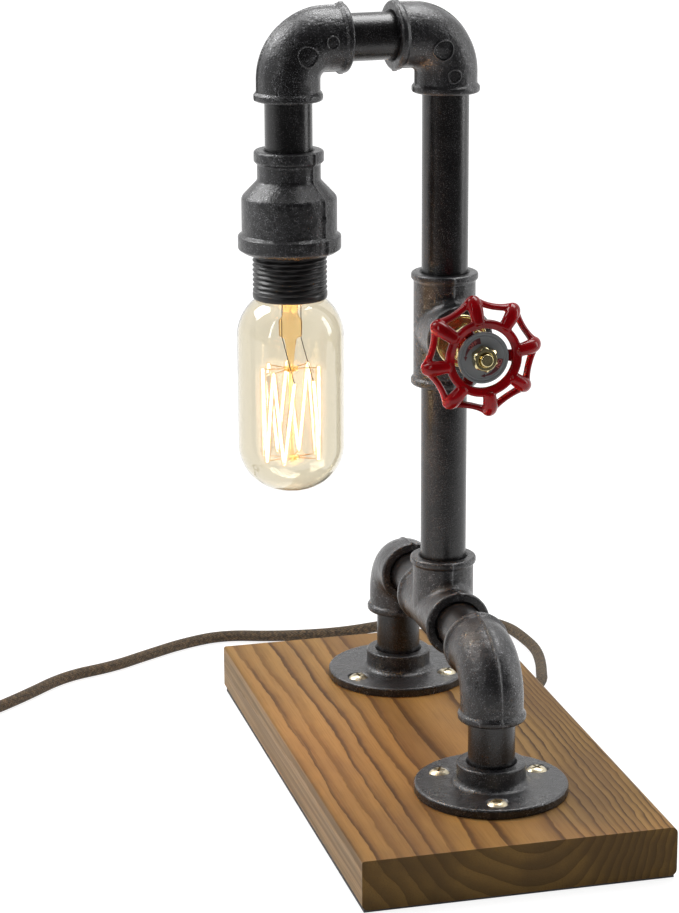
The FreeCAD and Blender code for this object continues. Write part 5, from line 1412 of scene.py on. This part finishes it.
@dataclass(frozen=True)
class Wheel:
    """Cast handwheel: dished ring in front, eight fat fingers that bend back over the rim, arms and hub."""

    spokes: int = 8
    first: float = math.radians(9.3)
    ring_inner: float = 13.7
    ring_outer: float = 17.9
    start: Point = (15.4, 0.0, 4.7)
    corner: Point = (25.95, 0.0, 4.4)
    end: Point = (25.95, 0.0, -1.5)
    finger: tuple[float, float] = (2.95, 2.75)
    knuckle: tuple[float, float] = (3.45, 3.0)
    rim_tip: float = 26.6
    rim_waist: float = 23.2
    rim_drop: float = -0.7
    rim_bow: float = 1.0
    rim_half: tuple[float, float] = (1.5, 2.4)
    rim_growth: tuple[float, float] = (0.8, 0.5)
    rim_dip: float = 0.35
    dip_width: float = 3.4
    swell_over: float = 0.62
    inner_close: float = 1.6
    outer_close: float = 2.0
    arms: int = 3
    arm_start: tuple[float, float] = (4.0, -0.9)
    arm_reach: float = 11.2
    arm_rise: float = 4.4
    arm_half: tuple[float, float] = (2.5, 1.3)
    arm_flare: float = 0.9
    voxel: float = 0.33

    def rim(self) -> Skin:
        """Rim as an elliptical section on r(g) = chord / cos g - sag (1 - s^2), s = g / half, g from mid-bay.

        The sag is the chord less the waist. The rim also bows forward by bow (1 - s^2). Towards the nearest
        knuckle the section grows, and the radius dips, by a bell curve of the distance.

        Returns:
            The rim about the wheel's axis.
        """
        count = self.spokes * 26
        angle = np.arange(count) * TURN / count
        half = math.pi / self.spokes
        bay = (angle - self.first) % (2 * half) - half
        chord = self.rim_tip * math.cos(half)
        hump = 1 - (bay / half) ** 2
        near = np.exp(-((half - abs(bay)) * self.rim_tip / self.dip_width) ** 2)
        radius = chord / np.cos(bay) - (chord - self.rim_waist) * hump - self.rim_dip * near
        height = self.rim_drop + self.rim_bow * hump
        path = polar(radius, angle, height)
        up = same((0, 0, 1), path)
        side = np.cross(up, headings(path, True))
        wide, deep = (least + growth * near for least, growth in zip(self.rim_half, self.rim_growth))
        return tube(path, side, -up, wide, deep, 20, loop=True)

    def one_finger(self, angle: float) -> Skin:
        """Finger whose middle line is a quadratic Bezier curve from the ring out, then back past the rim.

        With t along the curve the half-widths grow from the finger's to the knuckle's by an S-curve, and
        at both ends they close by sqrt(1 - d^p), a little fuller than a quarter circle, where d rises from 0
        to 1 at the tip over the end's own length.

        Args:
            angle: its direction from the wheel's axis.

        Returns:
            The finger.
        """
        t = np.linspace(0, 1, 64)[:, None]
        first, middle, last = np.array([self.start]), np.array([self.corner]), np.array([self.end])
        path = (1 - t) ** 2 * first + 2 * t * (1 - t) * middle + t ** 2 * last
        side = same((0, 1, 0), path)
        length = distances(path)
        swell = np.clip(length / length[-1] / self.swell_over, 0, 1)
        swell = swell * swell * (3 - 2 * swell)
        inner = np.clip(1 - length / self.inner_close, 0, 1)
        outer = np.clip(1 - (length[-1] - length) / self.outer_close, 0, 1)
        close = np.sqrt(1 - inner ** 2.4) * np.sqrt(1 - outer ** 2.2)
        wide = (self.finger[0] + (self.knuckle[0] - self.finger[0]) * swell) * close
        deep = (self.finger[1] + (self.knuckle[1] - self.finger[1]) * swell) * close
        other = np.cross(headings(path), side)
        return tube(path[1:-1], side[1:-1], other[1:-1], wide[1:-1], deep[1:-1], 28).placed(spun(angle))

    def one_arm(self, angle: float) -> Skin:
        """Flat arm behind the dial from the hub, rising as the square of the way out to the ring.

        It widens at both ends by flare (2 s - 1)^2, with s the share of the way.

        Args:
            angle: its direction from the wheel's axis.

        Returns:
            The arm.
        """
        share = np.linspace(0, 1, 12)
        path = np.stack([self.arm_start[0] + self.arm_reach * share, 0 * share,
                         self.arm_start[1] + self.arm_rise * share ** 2], 1)
        wide = self.arm_half[0] + self.arm_flare * (2 * share - 1) ** 2
        skin = tube(path, same((0, 1, 0), path), same((0, 0, 1), path), wide, self.arm_half[1], 20)
        return skin.placed(spun(angle))

    def make(self) -> bpy.types.Object:
        """Join the parts, fuse them into one skin by voxels and relax it, as paint rounds a casting.

        Returns:
            The wheel.
        """
        ring = rounded([(self.ring_inner, 2.4, 0.9), (self.ring_outer, 3.4, 1.3), (self.ring_outer, 6.9, 1.2),
                        (self.ring_inner, 5.3, 0.7)], closed=True)
        hub = rounded([(0, -3.5, 0), (7.5, -3.5, 0.9), (7.5, 3.1, 0.5), (0, 3.1, 0)])
        step = TURN / self.spokes
        skins = [lathe(ring, 96, True), lathe(hub, 64), self.rim()]
        skins += [self.one_finger(self.first + step * index) for index in range(self.spokes)]
        skins += [self.one_arm(TURN * index / self.arms) for index in range(self.arms)]
        skin = joined(skins).placed(LAYOUT.wheel_axis(LAYOUT.wheel_reach))
        piece = linked("handwheel_casting", build_mesh("handwheel_casting", skin))
        fuse = piece.modifiers.new("fuse", "REMESH")
        fuse.mode, fuse.voxel_size, fuse.use_smooth_shade = "VOXEL", self.voxel * MM, True
        relax = piece.modifiers.new("relax", "SMOOTH")
        relax.factor, relax.iterations = 0.5, 6
        return settle(piece, RED, Body.WHEEL, ["handwheel"])


@dataclass(frozen=True)
class Dial:
    """Grey plate with turned rings, two red arrows and the words ON and OFF."""

    radius: float = 11.9
    face: float = 61.8
    arrow_radius: float = 8.4
    shaft_share: float = 0.84
    shaft_half: float = 1.25
    head_half: float = 0.85
    inward: float = 0.35
    arrow_z: float = 0.76
    arrow_depth: float = 0.07
    word_radius: float = 7.3
    letter_height: float = 2.4
    letter_z: float = 0.85
    letter_depth: float = 0.08

    def plate(self) -> Skin:
        """Plate with a raised rim and two grooves.

        Returns:
            The plate about the wheel's axis.
        """
        r, bore = self.radius, LAYOUT.stem_bore
        profile = rounded([
            (bore, 0, 0), (r, 0, 0.1), (r, 1.1, 0.25), (r - 1.0, 1.1, 0.2), (r - 1.2, 0.72, 0.1),
            (r - 1.7, 0.72, 0.1), (r - 1.8, 0.9, 0.05), (r - 2.2, 0.9, 0.05), (r - 2.3, 0.72, 0.1),
            (r - 6.0, 0.72, 0.1), (r - 6.15, 0.82, 0.05), (bore, 0.82, 0)], 3, True)
        return lathe(profile, 96, True)

    def arrow(self, start: float, end: float) -> Skin:
        """Curved arrow as a thin slab: a shaft that narrows along the ring, then a head.

        With s the share of the way, the shaft's half-width falls as (1 - s / shaft share)^0.7 and the head's
        falls evenly to its point.

        Args:
            start: the angle of its tail.
            end: the angle of its point.

        Returns:
            The arrow.
        """
        shaft, head = np.linspace(0, self.shaft_share, 30), np.linspace(self.shaft_share + 0.005, 1, 8)
        share = np.concatenate([shaft, head])
        angle = start + (end - start) * share
        width = np.concatenate([self.shaft_half * (1 - shaft / self.shaft_share) ** 0.7 + 0.16,
                                self.head_half * (1 - head) / (1 - head[0]) + 0.01])
        path = polar(self.arrow_radius - self.inward * (1 - share), angle, self.arrow_z)
        down = same((0, 0, -1 if end > start else 1), path)
        return tube(path, polar(1.0, angle, 0.0), down, width, self.arrow_depth, 8)

    def word(self, text: str, middle: float) -> Skin:
        """Word on an arc about the centre: a letter's x becomes an angle and its y a radius.

        Args:
            text: the word.
            middle: the angle of its middle.

        Returns:
            Thin raised letters.
        """
        curve = bpy.data.curves.new("word", "FONT")
        curve.body, curve.size, curve.extrude = text, self.letter_height, self.letter_depth
        curve.align_x, curve.resolution_u = "CENTER", 3
        flat, corners, counts = traced(curve)
        angle = middle - flat[:, 0] / self.word_radius
        points = polar(self.word_radius + flat[:, 1], angle, flat[:, 2] + self.letter_z)
        return Skin(points, corners, counts, np.zeros((len(corners), 2)))

    def make(self) -> None:
        """Build the plate and its red marks."""
        axis = LAYOUT.wheel_axis(self.face)
        make_piece("dial_plate_turned", self.plate().placed(axis), DIAL, Body.WHEEL,
                   ["dial_plate"], 25)
        marks = [self.arrow(math.radians(start), math.radians(end)) for start, end in ((100, 187), (-6, -98))]
        make_piece("dial_arrows", joined(marks).placed(axis), LETTERING, Body.WHEEL)
        words = [self.word(text, math.radians(middle)) for text, middle in (("ON", -22), ("OFF", 130))]
        make_piece("dial_words", joined(words).placed(axis), WORDS, Body.WHEEL)


@dataclass(frozen=True)
class Valve:
    """Brass bonnet and gland nut in front of the tee, and the wheel's nut."""

    bore: float = LAYOUT.stem_bore
    bonnet_at: float = 27.0
    bonnet_flats: float = 17.0
    gland_at: float = 37.5
    gland_flats: float = 14.0
    gland_turn: float = math.radians(18)
    nut_at: float = 62.6
    nut_flats: float = 10.7
    nut_turn: float = math.radians(8)
    crisp: float = 30.0

    def bonnet(self) -> Skin:
        """Thread and flange turned, hexagon in front.

        Returns:
            The bonnet about the wheel's axis.
        """
        turned = rounded([(self.bore, -11, 0), (10.6, -11, 0.6), (10.6, 0, 0), (12.3, 0, 0.4),
                          (12.3, 2.0, 0.5), (11.3, 2.0, 0.4), (11.0, 1.3, 0.3), (self.bore, 1.3, 0)], 4, True)
        front = rounded([(self.bore, 1.0, 0), (9.6, 1.0, 0), (9.9, 9.0, 0.8), (8.1, 10.5, 0.4),
                         (5.0, 10.5, 0), (5.0, 7.5, 0), (self.bore, 7.5, 0)], 5, True)
        return joined([lathe(turned, 96, True), hexagon(self.bonnet_flats, front)])

    def gland(self) -> Skin:
        """Hexagonal nut that presses the packing, with a rounded front.

        Returns:
            The nut about the wheel's axis.
        """
        profile = rounded([(self.bore, 0, 0), (6.9, 0, 0.3), (8.2, 0.9, 0.4), (8.0, 6.4, 0.6),
                           (6.6, 7.5, 0.4), (self.bore, 7.5, 0)], 5, True)
        return hexagon(self.gland_flats, profile)

    def nut(self) -> Skin:
        """Small hexagonal nut that holds the wheel on its stem.

        Returns:
            The nut about the wheel's axis.
        """
        profile = rounded([(self.bore, 0, 0), (5.8, 0, 0.2), (6.3, 0.5, 0.3), (6.1, 3.6, 0.5),
                           (5.0, 4.5, 0.35), (3.6, 4.5, 0.2), (self.bore, 4.0, 0)], 5, True)
        return hexagon(self.nut_flats, profile, 0.25)

    def make(self) -> None:
        """Build the three brass pieces and dress the rest of the switch."""
        for name, skin, axis, body, node in (
                ("bonnet_brass", self.bonnet(), LAYOUT.wheel_axis(self.bonnet_at), Body.STAND, "bonnet"),
                ("gland_nut_brass", self.gland(), LAYOUT.wheel_axis(self.gland_at, self.gland_turn),
                 Body.STAND, "packing_nut"),
                ("wheel_nut_brass", self.nut(), LAYOUT.wheel_axis(self.nut_at, self.nut_turn),
                 Body.WHEEL, "wheel_nut")):
            make_piece(name, skin.placed(axis), BRASS, body, [node], self.crisp)
        dress(["valve_stem"], BRASS)
        dress(["packing_ring"], RUBBER)
        dress(["switch_body", "switch_rotor"], HOLDER)
        dress(["switch_contacts", "switch_terminals"], BRASS_DULL)


# ---------------------------------------------------------------- lamp holder and bulb

@dataclass(frozen=True)
class Holder:
    """Black threaded tube of the lamp holder."""

    radius: float = 17.2
    bore: float = 14.2
    pitch: float = 2.31
    depth: float = 1.05
    hidden: float = 15.0

    def skin(self) -> Skin:
        """Helical thread: r = radius - depth (1 - |2 f - 1|^0.8), f the fraction of height / pitch - turns.

        Returns:
            The tube in the model's place.
        """
        top, bottom = LAYOUT.reducer_bottom + self.hidden, LAYOUT.holder_bottom
        heights = np.linspace(bottom + 1.2, top, 150)
        outer = np.stack([np.full_like(heights, self.radius), heights], 1)
        lower = rounded([(self.bore, bottom + 1.4, 0), (self.bore + 1.2, bottom, 0.3),
                         (self.radius - 0.2, bottom, 0.5), (self.radius, bottom + 1.2, 0)], 4)
        profile = np.concatenate([lower[:-1], outer, [[self.bore, top]]])

        def thread(radius: np.ndarray, height: np.ndarray, angle: np.ndarray) -> np.ndarray:
            """Cut the thread into the outer wall, fading in above the plain lower edge.

            Args:
                radius: the wall's radii.
                height: their heights.
                angle: their angles.

            Returns:
                What is added to the radii.
            """
            phase = (height / self.pitch - angle / TURN) % 1.0
            cut = 1 - np.abs(2 * phase - 1) ** 0.8
            fade = np.clip((height - bottom - 2.4) / 1.5, 0, 1) * np.clip((top - height) / 2.0, 0, 1)
            return np.where(radius > self.radius - 0.05, -self.depth * cut * fade, 0)

        return lathe(profile, 96, True, thread).placed(LAYOUT.drop_axis())

    def make(self) -> None:
        """Build the tube and dress what is inside it."""
        make_piece("holder_shell_threaded", self.skin(), HOLDER, Body.ARM,
                   ["holder_shell"], 60)
        dress(["holder_core"], CERAMIC)
        dress(["screw_shell", "centre_contact", "holder_terminals"], BRASS_DULL)
        dress(["arm_flex"], FLEX)


@dataclass(frozen=True)
class Bulb:
    """Clear tubular bulb with a squirrel-cage filament."""

    radius: float = 24.7
    crown: float = 22.0
    wall: float = 0.8
    neck: float = 12.7
    cage: float = 13.0
    loops: int = 8
    upper: float = 33.7
    lower: float = 76.3
    first: float = math.radians(-56.4)
    ends_drop: float = 4.3
    press_turn: float = math.radians(-20.9)
    sharpness: float = 0.995
    lead: float = 0.2
    wire: float = 0.7
    # halo and haze: half-thicknesses of the tubes that carry the painted glow round the filament
    halo: float = 1.5
    haze: float = 3.6

    def outline(self, inset: float) -> np.ndarray:
        """Envelope's outline from the bottom pole up to the neck's end, moved inwards by an inset.

        Args:
            inset: how far inside the outer face.

        Returns:
            Points of (radius, height).
        """
        low, hold = LAYOUT.bulb_bottom + inset, LAYOUT.holder_bottom
        r, curve = self.radius - inset, self.crown - inset
        return rounded([(0, low, 0), (r, low, curve), (r, hold - 7.3, curve),
                        (self.neck - inset, hold + 2, 2), (self.neck - inset, hold + 11, 0)], 22)

    def envelope(self) -> Skin:
        """Outer skin up the outside, joined at the neck's end to an inner skin that faces inwards.

        Returns:
            The glass in the model's place.
        """
        outer, inner = refined(self.outline(0), 4.0), refined(self.outline(self.wall), 4.0)
        profile = np.concatenate([outer, inner[::-1]])
        return lathe(profile, 128).placed(LAYOUT.drop_axis())

    def stem(self) -> Skin:
        """Glass stem: flare, tube, flat press, bead and rod as elliptical sections of one height line.

        A lobed bead sits on the rod at each end of the cage, where the hooks leave it.

        Returns:
            The stem in the model's place.
        """
        hold = LAYOUT.holder_bottom
        stations = np.array([
            (-78.6, 0.8, 0.8), (-78.3, 1.1, 1.1), (-36.0, 1.0, 1.0), (-30.5, 1.5, 1.5), (-24.0, 2.1, 2.0),
            (-19.6, 2.9, 2.1), (-18.5, 5.3, 2.0), (-11.0, 5.5, 2.0), (-9.6, 4.2, 2.8), (-7.0, 3.4, 3.3),
            (-2.0, 3.8, 3.8), (3.0, 6.0, 6.0), (7.0, 9.5, 9.5), (9.0, 11.4, 11.4), (11.0, 11.75, 11.75)])
        height = np.concatenate([np.linspace(-78.6, -36, 12), np.linspace(-35, 11, 60)])
        wide = np.interp(height, stations[:, 0], stations[:, 1])
        thick = np.interp(height, stations[:, 0], stations[:, 2])
        path = np.stack([0 * height, 0 * height, height + hold], 1)
        side, other, _ = spun(self.press_turn).basis()
        skins = [tube(path, same(side, path), same(other, path), wide, thick, 32)]
        bead = rounded([(0, -0.9, 0), (3.2, -0.9, 0.5), (3.2, 0.9, 0.5), (0, 0.9, 0)], 4)
        for level in (self.upper, self.lower):
            skins.append(lathe(bead + np.array([0, hold - level]), 96,
                               extra=lambda r, h, a: np.where(r > 2.5, 0.3 * np.cos(self.loops * a), 0)))
        return joined(skins).placed(LAYOUT.drop_axis())

    def filament(self, thick: float) -> Skin:
        """Zigzag round the cage: height follows a triangle wave whose peaks are rounded.

        With t counting half loops, the angle is first + pi t / loops and the height is
        middle + reach * asin(k cos(pi t)) / asin(k), with the sharpness k a little under 1. The wire's two
        ends stop below the upper turns by the ends' drop.

        Args:
            thick: half the wire's thickness.

        Returns:
            The wire in the model's place.
        """
        count = 2 * self.loops - 2
        t = np.linspace(0, count, count * 40 + 1)
        swing = np.arcsin(self.sharpness * np.cos(math.pi * t)) / math.asin(self.sharpness)
        height = LAYOUT.holder_bottom - (self.upper + self.lower) / 2 + swing * (self.lower - self.upper) / 2
        height = height - np.where((t < 1) | (t > count - 1), self.ends_drop * (1 + swing) / 2, 0)
        angle = self.first + math.pi * t / self.loops
        path, outward = polar(self.cage, angle, height), polar(1.0, angle, 0.0)
        tangent = headings(path)
        side = unit(outward - tangent * (outward * tangent).sum(1, keepdims=True))
        return tube(path, side, np.cross(tangent, side), thick, thick, 8).placed(LAYOUT.drop_axis())

    def leads(self) -> Skin:
        """Two thin wires from the neck through the press, and on to the filament's ends.

        Returns:
            The two wires in the model's place.
        """
        last = LAYOUT.holder_bottom - self.upper - self.ends_drop
        foot = LAYOUT.holder_bottom - 19.5
        side, other, _ = spun(self.press_turn).basis()
        skins = []
        for along, angle in ((4.9, self.first), (-3.8, self.first + TURN - TURN / self.loops)):
            x, y, _ = along * side
            path = np.array([(x, y, foot + 22), (x, y, foot + 1), (x, y, foot),
                             (self.cage * math.cos(angle), self.cage * math.sin(angle), last)])
            tangent = headings(path)
            out = unit(np.cross(tangent, other))
            skins.append(tube(path, out, np.cross(tangent, out), self.lead, self.lead, 8))
        return joined(skins).placed(LAYOUT.drop_axis())

    def make(self) -> None:
        """Build the glass, stem, leads and filament with its painted glow, and dress the cap and the hooks.
        """
        glass = make_piece("bulb_envelope", self.envelope(), CLEAR, Body.BULB,
                           ["bulb_glass"], 60)
        glass.visible_shadow = False
        make_piece("bulb_glass_stem", self.stem(), STEM_GLASS, Body.BULB, ["bulb_stem"])
        # the halo and the haze are painted glow round the filament
        for name, thick, finish, nodes in (("bulb_filament", self.wire, FILAMENT, ["filament"]),
                                           ("filament_halo", self.halo, HALO, []),
                                           ("filament_haze", self.haze, HAZE, [])):
            make_piece(name, self.filament(thick), finish, Body.BULB, nodes)
        dress(["bulb_cap"], CAP)
        dress(["cap_insulator"], BLACK_GLASS)
        dress(["cap_tip"], ZINC)
        # painted glow on the hooks
        dress(["filament_hooks"], HOOK)
        make_piece("bulb_leads", self.leads(), SUPPORT, Body.BULB, ["lead_wires"])


# ---------------------------------------------------------------- cord

@dataclass(frozen=True)
class MainsCord:
    """Braided cord on the table, its stored coil and the plug, in millimetres."""

    radius: float = 3.0
    spacing: float = 1.4
    columns: int = 20
    route: tuple[Point, ...] = (
        (80.7065, 83.149, 8.6), (87.5894, 92.9788, 8.6), (92.1, 108.0, 6.6), (99.4, 131.0, 3.8),
        (104.6, 155.0, 3.0), (103.5, 177.0, 3.0), (100.6, 195.5, 3.0), (88.3, 212.0, 3.0), (67.3, 220.0, 3.0),
        (38.3, 216.5, 3.0), (5.3, 209.5, 3.0), (-29.7, 213.5, 3.0), (-57.2, 223.0, 3.0), (-81.2, 215.5, 3.0),
        (-104.2, 202.0, 3.0), (-125.7, 188.5, 3.0), (-153.2, 180.0, 3.0), (-177.7, 156.5, 3.0),
        (-198.7, 139.0, 3.0), (-217.7, 128.0, 3.0), (-236.7, 128.0, 3.0))
    tail: tuple[Point, ...] = ((-298.7, 66.0, 9.0), (-298.7, 53.0, 9.0), (-296.2, 39.5, 6.85),
                               (-296.2, 26.5, 6.85))
    coil: tuple[float, float] = (-260.7, 90.0)
    turns: tuple[float, ...] = (38.0, 32.0, 26.0, 26.0, 32.0, 38.0, 38.0)
    turn_points: int = 20
    coil_turns: float = 6.25
    step_share: float = 0.16
    climb_at: float = 2.9
    climb_share: float = 0.2
    tie_angle: float = math.radians(20)
    tie_width: float = 3.2

    def coil_points(self) -> list[Point]:
        """Control points of the coil: turns of fixed radius that step to the next one early in a turn.

        Turn n keeps its radius after a step over the first sixth of the turn, and the cord rises from the
        lower layer to the upper one about the start of the fourth turn.

        Returns:
            The control points.
        """
        points = []
        for index in range(int(self.coil_turns * self.turn_points) + 1):
            turns = index / self.turn_points
            number = min(int(turns), len(self.turns) - 1)
            share = min(1.0, (turns - number) / self.step_share)
            ease = share * share * (3 - 2 * share)
            reach = self.turns[max(number - 1, 0)] * (1 - ease) + self.turns[number] * ease
            climb = min(1.0, max(0.0, (turns - self.climb_at) / self.climb_share))
            height = self.radius * (1 + 2 * climb * climb * (3 - 2 * climb))
            angle = math.pi / 2 + TURN * turns
            x, y = self.coil[0] + reach * math.cos(angle), self.coil[1] + reach * math.sin(angle)
            points.append((x, y, height))
        return points

    def spline(self) -> np.ndarray:
        """Points of the smooth NURBS line through the route, the coil and the tail, in metres.

        Returns:
            The line's points.
        """
        points = [*self.route, *self.coil_points(), *self.tail]
        curve = bpy.data.curves.new("cord_line", "CURVE")
        curve.dimensions, curve.resolution_u = "3D", 10
        spline = curve.splines.new("NURBS")
        spline.points.add(len(points) - 1)
        spline.points.foreach_set("co", np.hstack([np.array(points) * MM, np.ones((len(points), 1))]).ravel())
        spline.order_u = 3
        spline.use_endpoint_u = True
        line, _, _ = traced(curve)
        return line

    def even_path(self) -> tuple[np.ndarray, np.ndarray]:
        """Points of the line at even spaces, in millimetres, and how far along it each one is.

        Returns:
            The points and the distances.
        """
        line = self.spline() / MM
        line = line[np.append(True, np.linalg.norm(np.diff(line, axis=0), axis=1) > 1e-4)]
        length = distances(line)
        even = np.linspace(0, length[-1], int(length[-1] / self.spacing))
        return np.stack([np.interp(even, length, line[:, axis]) for axis in range(3)], 1), even

    def make(self) -> None:
        path, even = self.even_path()
        tangent = headings(path)
        side = unit(np.cross(tangent, [0.0, 0.0, 1.0]))
        around = np.arange(self.columns) / self.columns
        uv = np.stack(np.meshgrid(even * MM, around, indexing="ij")[::-1], -1)
        skin = tube(path, side, np.cross(tangent, side), self.radius, self.radius, self.columns, uv)
        cord = make_piece("mains_cord_braided", skin, CORD, Body.STAND,
                          ["mains_cord", "cord_coil", "cord_tail"])
        tie = self.tie()
        LOG.info("cord length %.3f m", even[-1] * MM)
        dress(["inlet_cord"], FLEX)
        dress(["cord_sleeve", "plug_body"], RUBBER)
        dress(["plug_pins"], BRASS)
        dress(["lower_flex", "upper_flex", "neutral_core"], FLEX)

    def tie(self) -> bpy.types.Object:
        """Strap round the coil's section: a rounded rectangle loop, flat in section.

        Returns:
            The strap.
        """
        thick = 0.25
        loop = rounded([(22.4, thick, 1.5), (41.6, thick, 1.5), (41.8, 12.4, 2.2), (22.2, 12.4, 2.2)],
                       closed=True)
        loop = refined(np.concatenate([loop, loop[:1]]), 1.5)[:-1]
        path = np.stack([loop[:, 0], 0 * loop[:, 0], loop[:, 1]], 1)
        across = same((0, 1, 0), path)
        out = np.cross(across, headings(path, True))
        skin = tube(path, out, across, thick, self.tie_width, 16, loop=True)
        axis = spun(self.tie_angle, (*self.coil, thick))
        return make_piece("coil_tie", skin.placed(axis), TIE, Body.STAND)


# ---------------------------------------------------------------- board

@dataclass(frozen=True)
class Board:
    """Plank with its felt and the cover of its wiring pocket."""

    def make(self) -> None:
        """Dress the board's nodes."""
        dress(["base_board"], WOOD)
        # the dark felt partly stands in for the contact shadow under the board
        dress(["felt_sheet"], FELT)
        dress(["channel_cover", "cord_clamp"], COVER)
        dress(["cover_screws", "clamp_screws"], STEEL)


# ---------------------------------------------------------------- studio

@dataclass(frozen=True)
class Studio:
    """Camera, lamps, floor and pale surroundings."""

    width: int = 679
    height: int = 913
    focal_px: float = 2830.71
    centre_px: tuple[float, float] = (387.54, 458.13)
    place: Point = (-360.6, -1246.1, 529.05)
    target: Point = (-21.4, 4.07, 162.97)
    sensor: float = 36.0
    middle: Point = (0.0, 0.0, 0.2)
    glow_power: float = 1.0
    glow_colour: Colour = (1.0, 0.45, 0.13)
    glow_below: float = 52.0
    floor_reach: float = 6000.0
    floor_z: float = -0.15
    room: float = 0.045
    ambient: float = 0.27

    def aim(self, holder: bpy.types.Object, place: Vector, target: Vector) -> None:
        """Put a camera or a lamp in its place and turn it to face a target, in metres.

        Args:
            holder: the camera or lamp.
            place: its place.
            target: what it faces.
        """
        holder.rotation_mode = "QUATERNION"
        holder.location = place
        holder.rotation_quaternion = (target - place).to_track_quat("-Z", "Y")

    def camera(self) -> None:
        """Camera whose frame is shifted so that its axis meets the picture at centre_px."""
        data = bpy.data.cameras.new("camera")
        data.sensor_fit, data.sensor_width = "AUTO", self.sensor
        data.lens = self.focal_px / self.height * self.sensor
        data.shift_x = -(self.centre_px[0] - self.width / 2) / self.height
        data.shift_y = (self.centre_px[1] - self.height / 2) / self.height
        data.clip_start, data.clip_end = 0.05, 20
        camera = linked("camera", data)
        self.aim(camera, Vector(self.place) * MM, Vector(self.target) * MM)
        bpy.context.scene.camera = camera

    def area(self, name: str, place: Point, width: float, height: float, power: float) -> None:
        """Soft white lamp that faces the middle of the object.

        Args:
            name: its name.
            place: where it stands, in metres.
            width: its width, in metres.
            height: its height, in metres.
            power: its power, in watts.
        """
        data = bpy.data.lights.new(name, "AREA")
        data.shape, data.size, data.size_y, data.energy = "RECTANGLE", width, height, power
        self.aim(linked(name, data), Vector(place), Vector(self.middle))

    def bulb_light(self) -> None:
        """Warm light of the lamp's own filament, itself unseen; it moves with the bulb."""
        data = bpy.data.lights.new("filament_light", "POINT")
        data.energy, data.color, data.shadow_soft_size = self.glow_power, self.glow_colour, 0.012
        lamp = linked("filament_light", data)
        lamp.visible_camera = lamp.visible_transmission = False
        lamp.location = Vector(LAYOUT.drop(LAYOUT.holder_bottom - self.glow_below)) * MM
        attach(lamp, Body.BULB.value)

    def floor(self) -> None:
        """Wide pale floor: it keeps soft shadows near the object and is plain white further away.

        A mirrored ray sees it pale only near the object and behind it, as a table ends in front of a lamp.
        """
        graph = Graph(bpy.data.materials.new("floor_white"))
        seen, glossy = graph.seen_directly()
        x, y, _ = graph.parts(graph.place())
        far = graph.smooth(graph.maths("SQRT", x * x + y * y), 0.42, 1.1)
        table = graph.smooth(y, -0.62, -0.3)
        plain = graph.wire(graph.node("ShaderNodeBsdfDiffuse", None, {"Color": (0.9, 0.9, 0.9, 1)}))
        strength = 1.18 - glossy * (1 - table) * 1.08
        white = graph.wire(graph.node("ShaderNodeEmission", None,
                                      {"Color": (1, 1, 1, 1), "Strength": strength}))
        share = (seen + glossy) * (far * 0.28 + 0.72) + glossy * (1 - table) * 0.28
        mixed = graph.node("ShaderNodeMixShader", None,
                           {0: graph.maths("MINIMUM", share, 1.0), 1: plain, 2: white})
        x, y = np.meshgrid([-self.floor_reach, self.floor_reach], [-self.floor_reach, self.floor_reach])
        points = np.stack([x.ravel(), y.ravel(), np.full(4, self.floor_z)], 1)
        mesh = build_mesh("floor", Skin(points, np.array([0, 1, 3, 2]), np.array([4]), np.zeros((4, 2))))
        mesh.materials.append(graph.done(graph.wire(mixed)))
        linked("floor", mesh)

    def world(self) -> None:
        """White surroundings behind the object, a darker room in front of it, and even soft light.

        A ray's share of the dark room is a smooth step of its direction's part along the way to the camera.
        """
        bpy.context.scene.world = bpy.data.worlds.new("surroundings")
        graph = Graph(bpy.context.scene.world)
        white, glossy = graph.seen_directly()
        x, y, _ = graph.parts(graph.wire(graph.node("ShaderNodeTexCoord"), "Generated"))
        back = graph.smooth(x * -0.26 + y * -0.965, 0.5, -0.3)
        mirrored = back * (1 - self.room) + self.room
        plain = glossy * mirrored + (1 - glossy) * self.ambient
        light = graph.node("ShaderNodeBackground", None,
                           {"Color": (1, 1, 1, 1), "Strength": white + (1 - white) * plain})
        graph.node("ShaderNodeOutputWorld", None, {"Surface": graph.wire(light)})

    def make(self) -> None:
        """Set up the whole studio."""
        bpy.context.scene.view_settings.view_transform = "Standard"
        self.camera()
        self.area("back_left_box", (-1.15, 0.7, 1.45), 0.9, 0.9, 26.0)
        self.area("top_box", (0.45, 0.5, 1.9), 1.5, 0.8, 36.0)
        self.area("right_strip", (1.7, -0.25, 0.6), 0.35, 1.4, 8.0)
        self.area("front_left_strip", (-1.3, -0.75, 0.9), 0.12, 1.1, 3.6)
        self.bulb_light()
        self.floor()
        self.world()


def main() -> None:
    """Build every sub-assembly in order."""
    logging.basicConfig(level=logging.INFO, format="%(message)s")
    for part in (Studio(), MainsCord(), Board(), PipeWork(), Wheel(), Dial(), Valve(), Holder(), Bulb()):
        part.make()


if __name__ == "__main__":
    main()
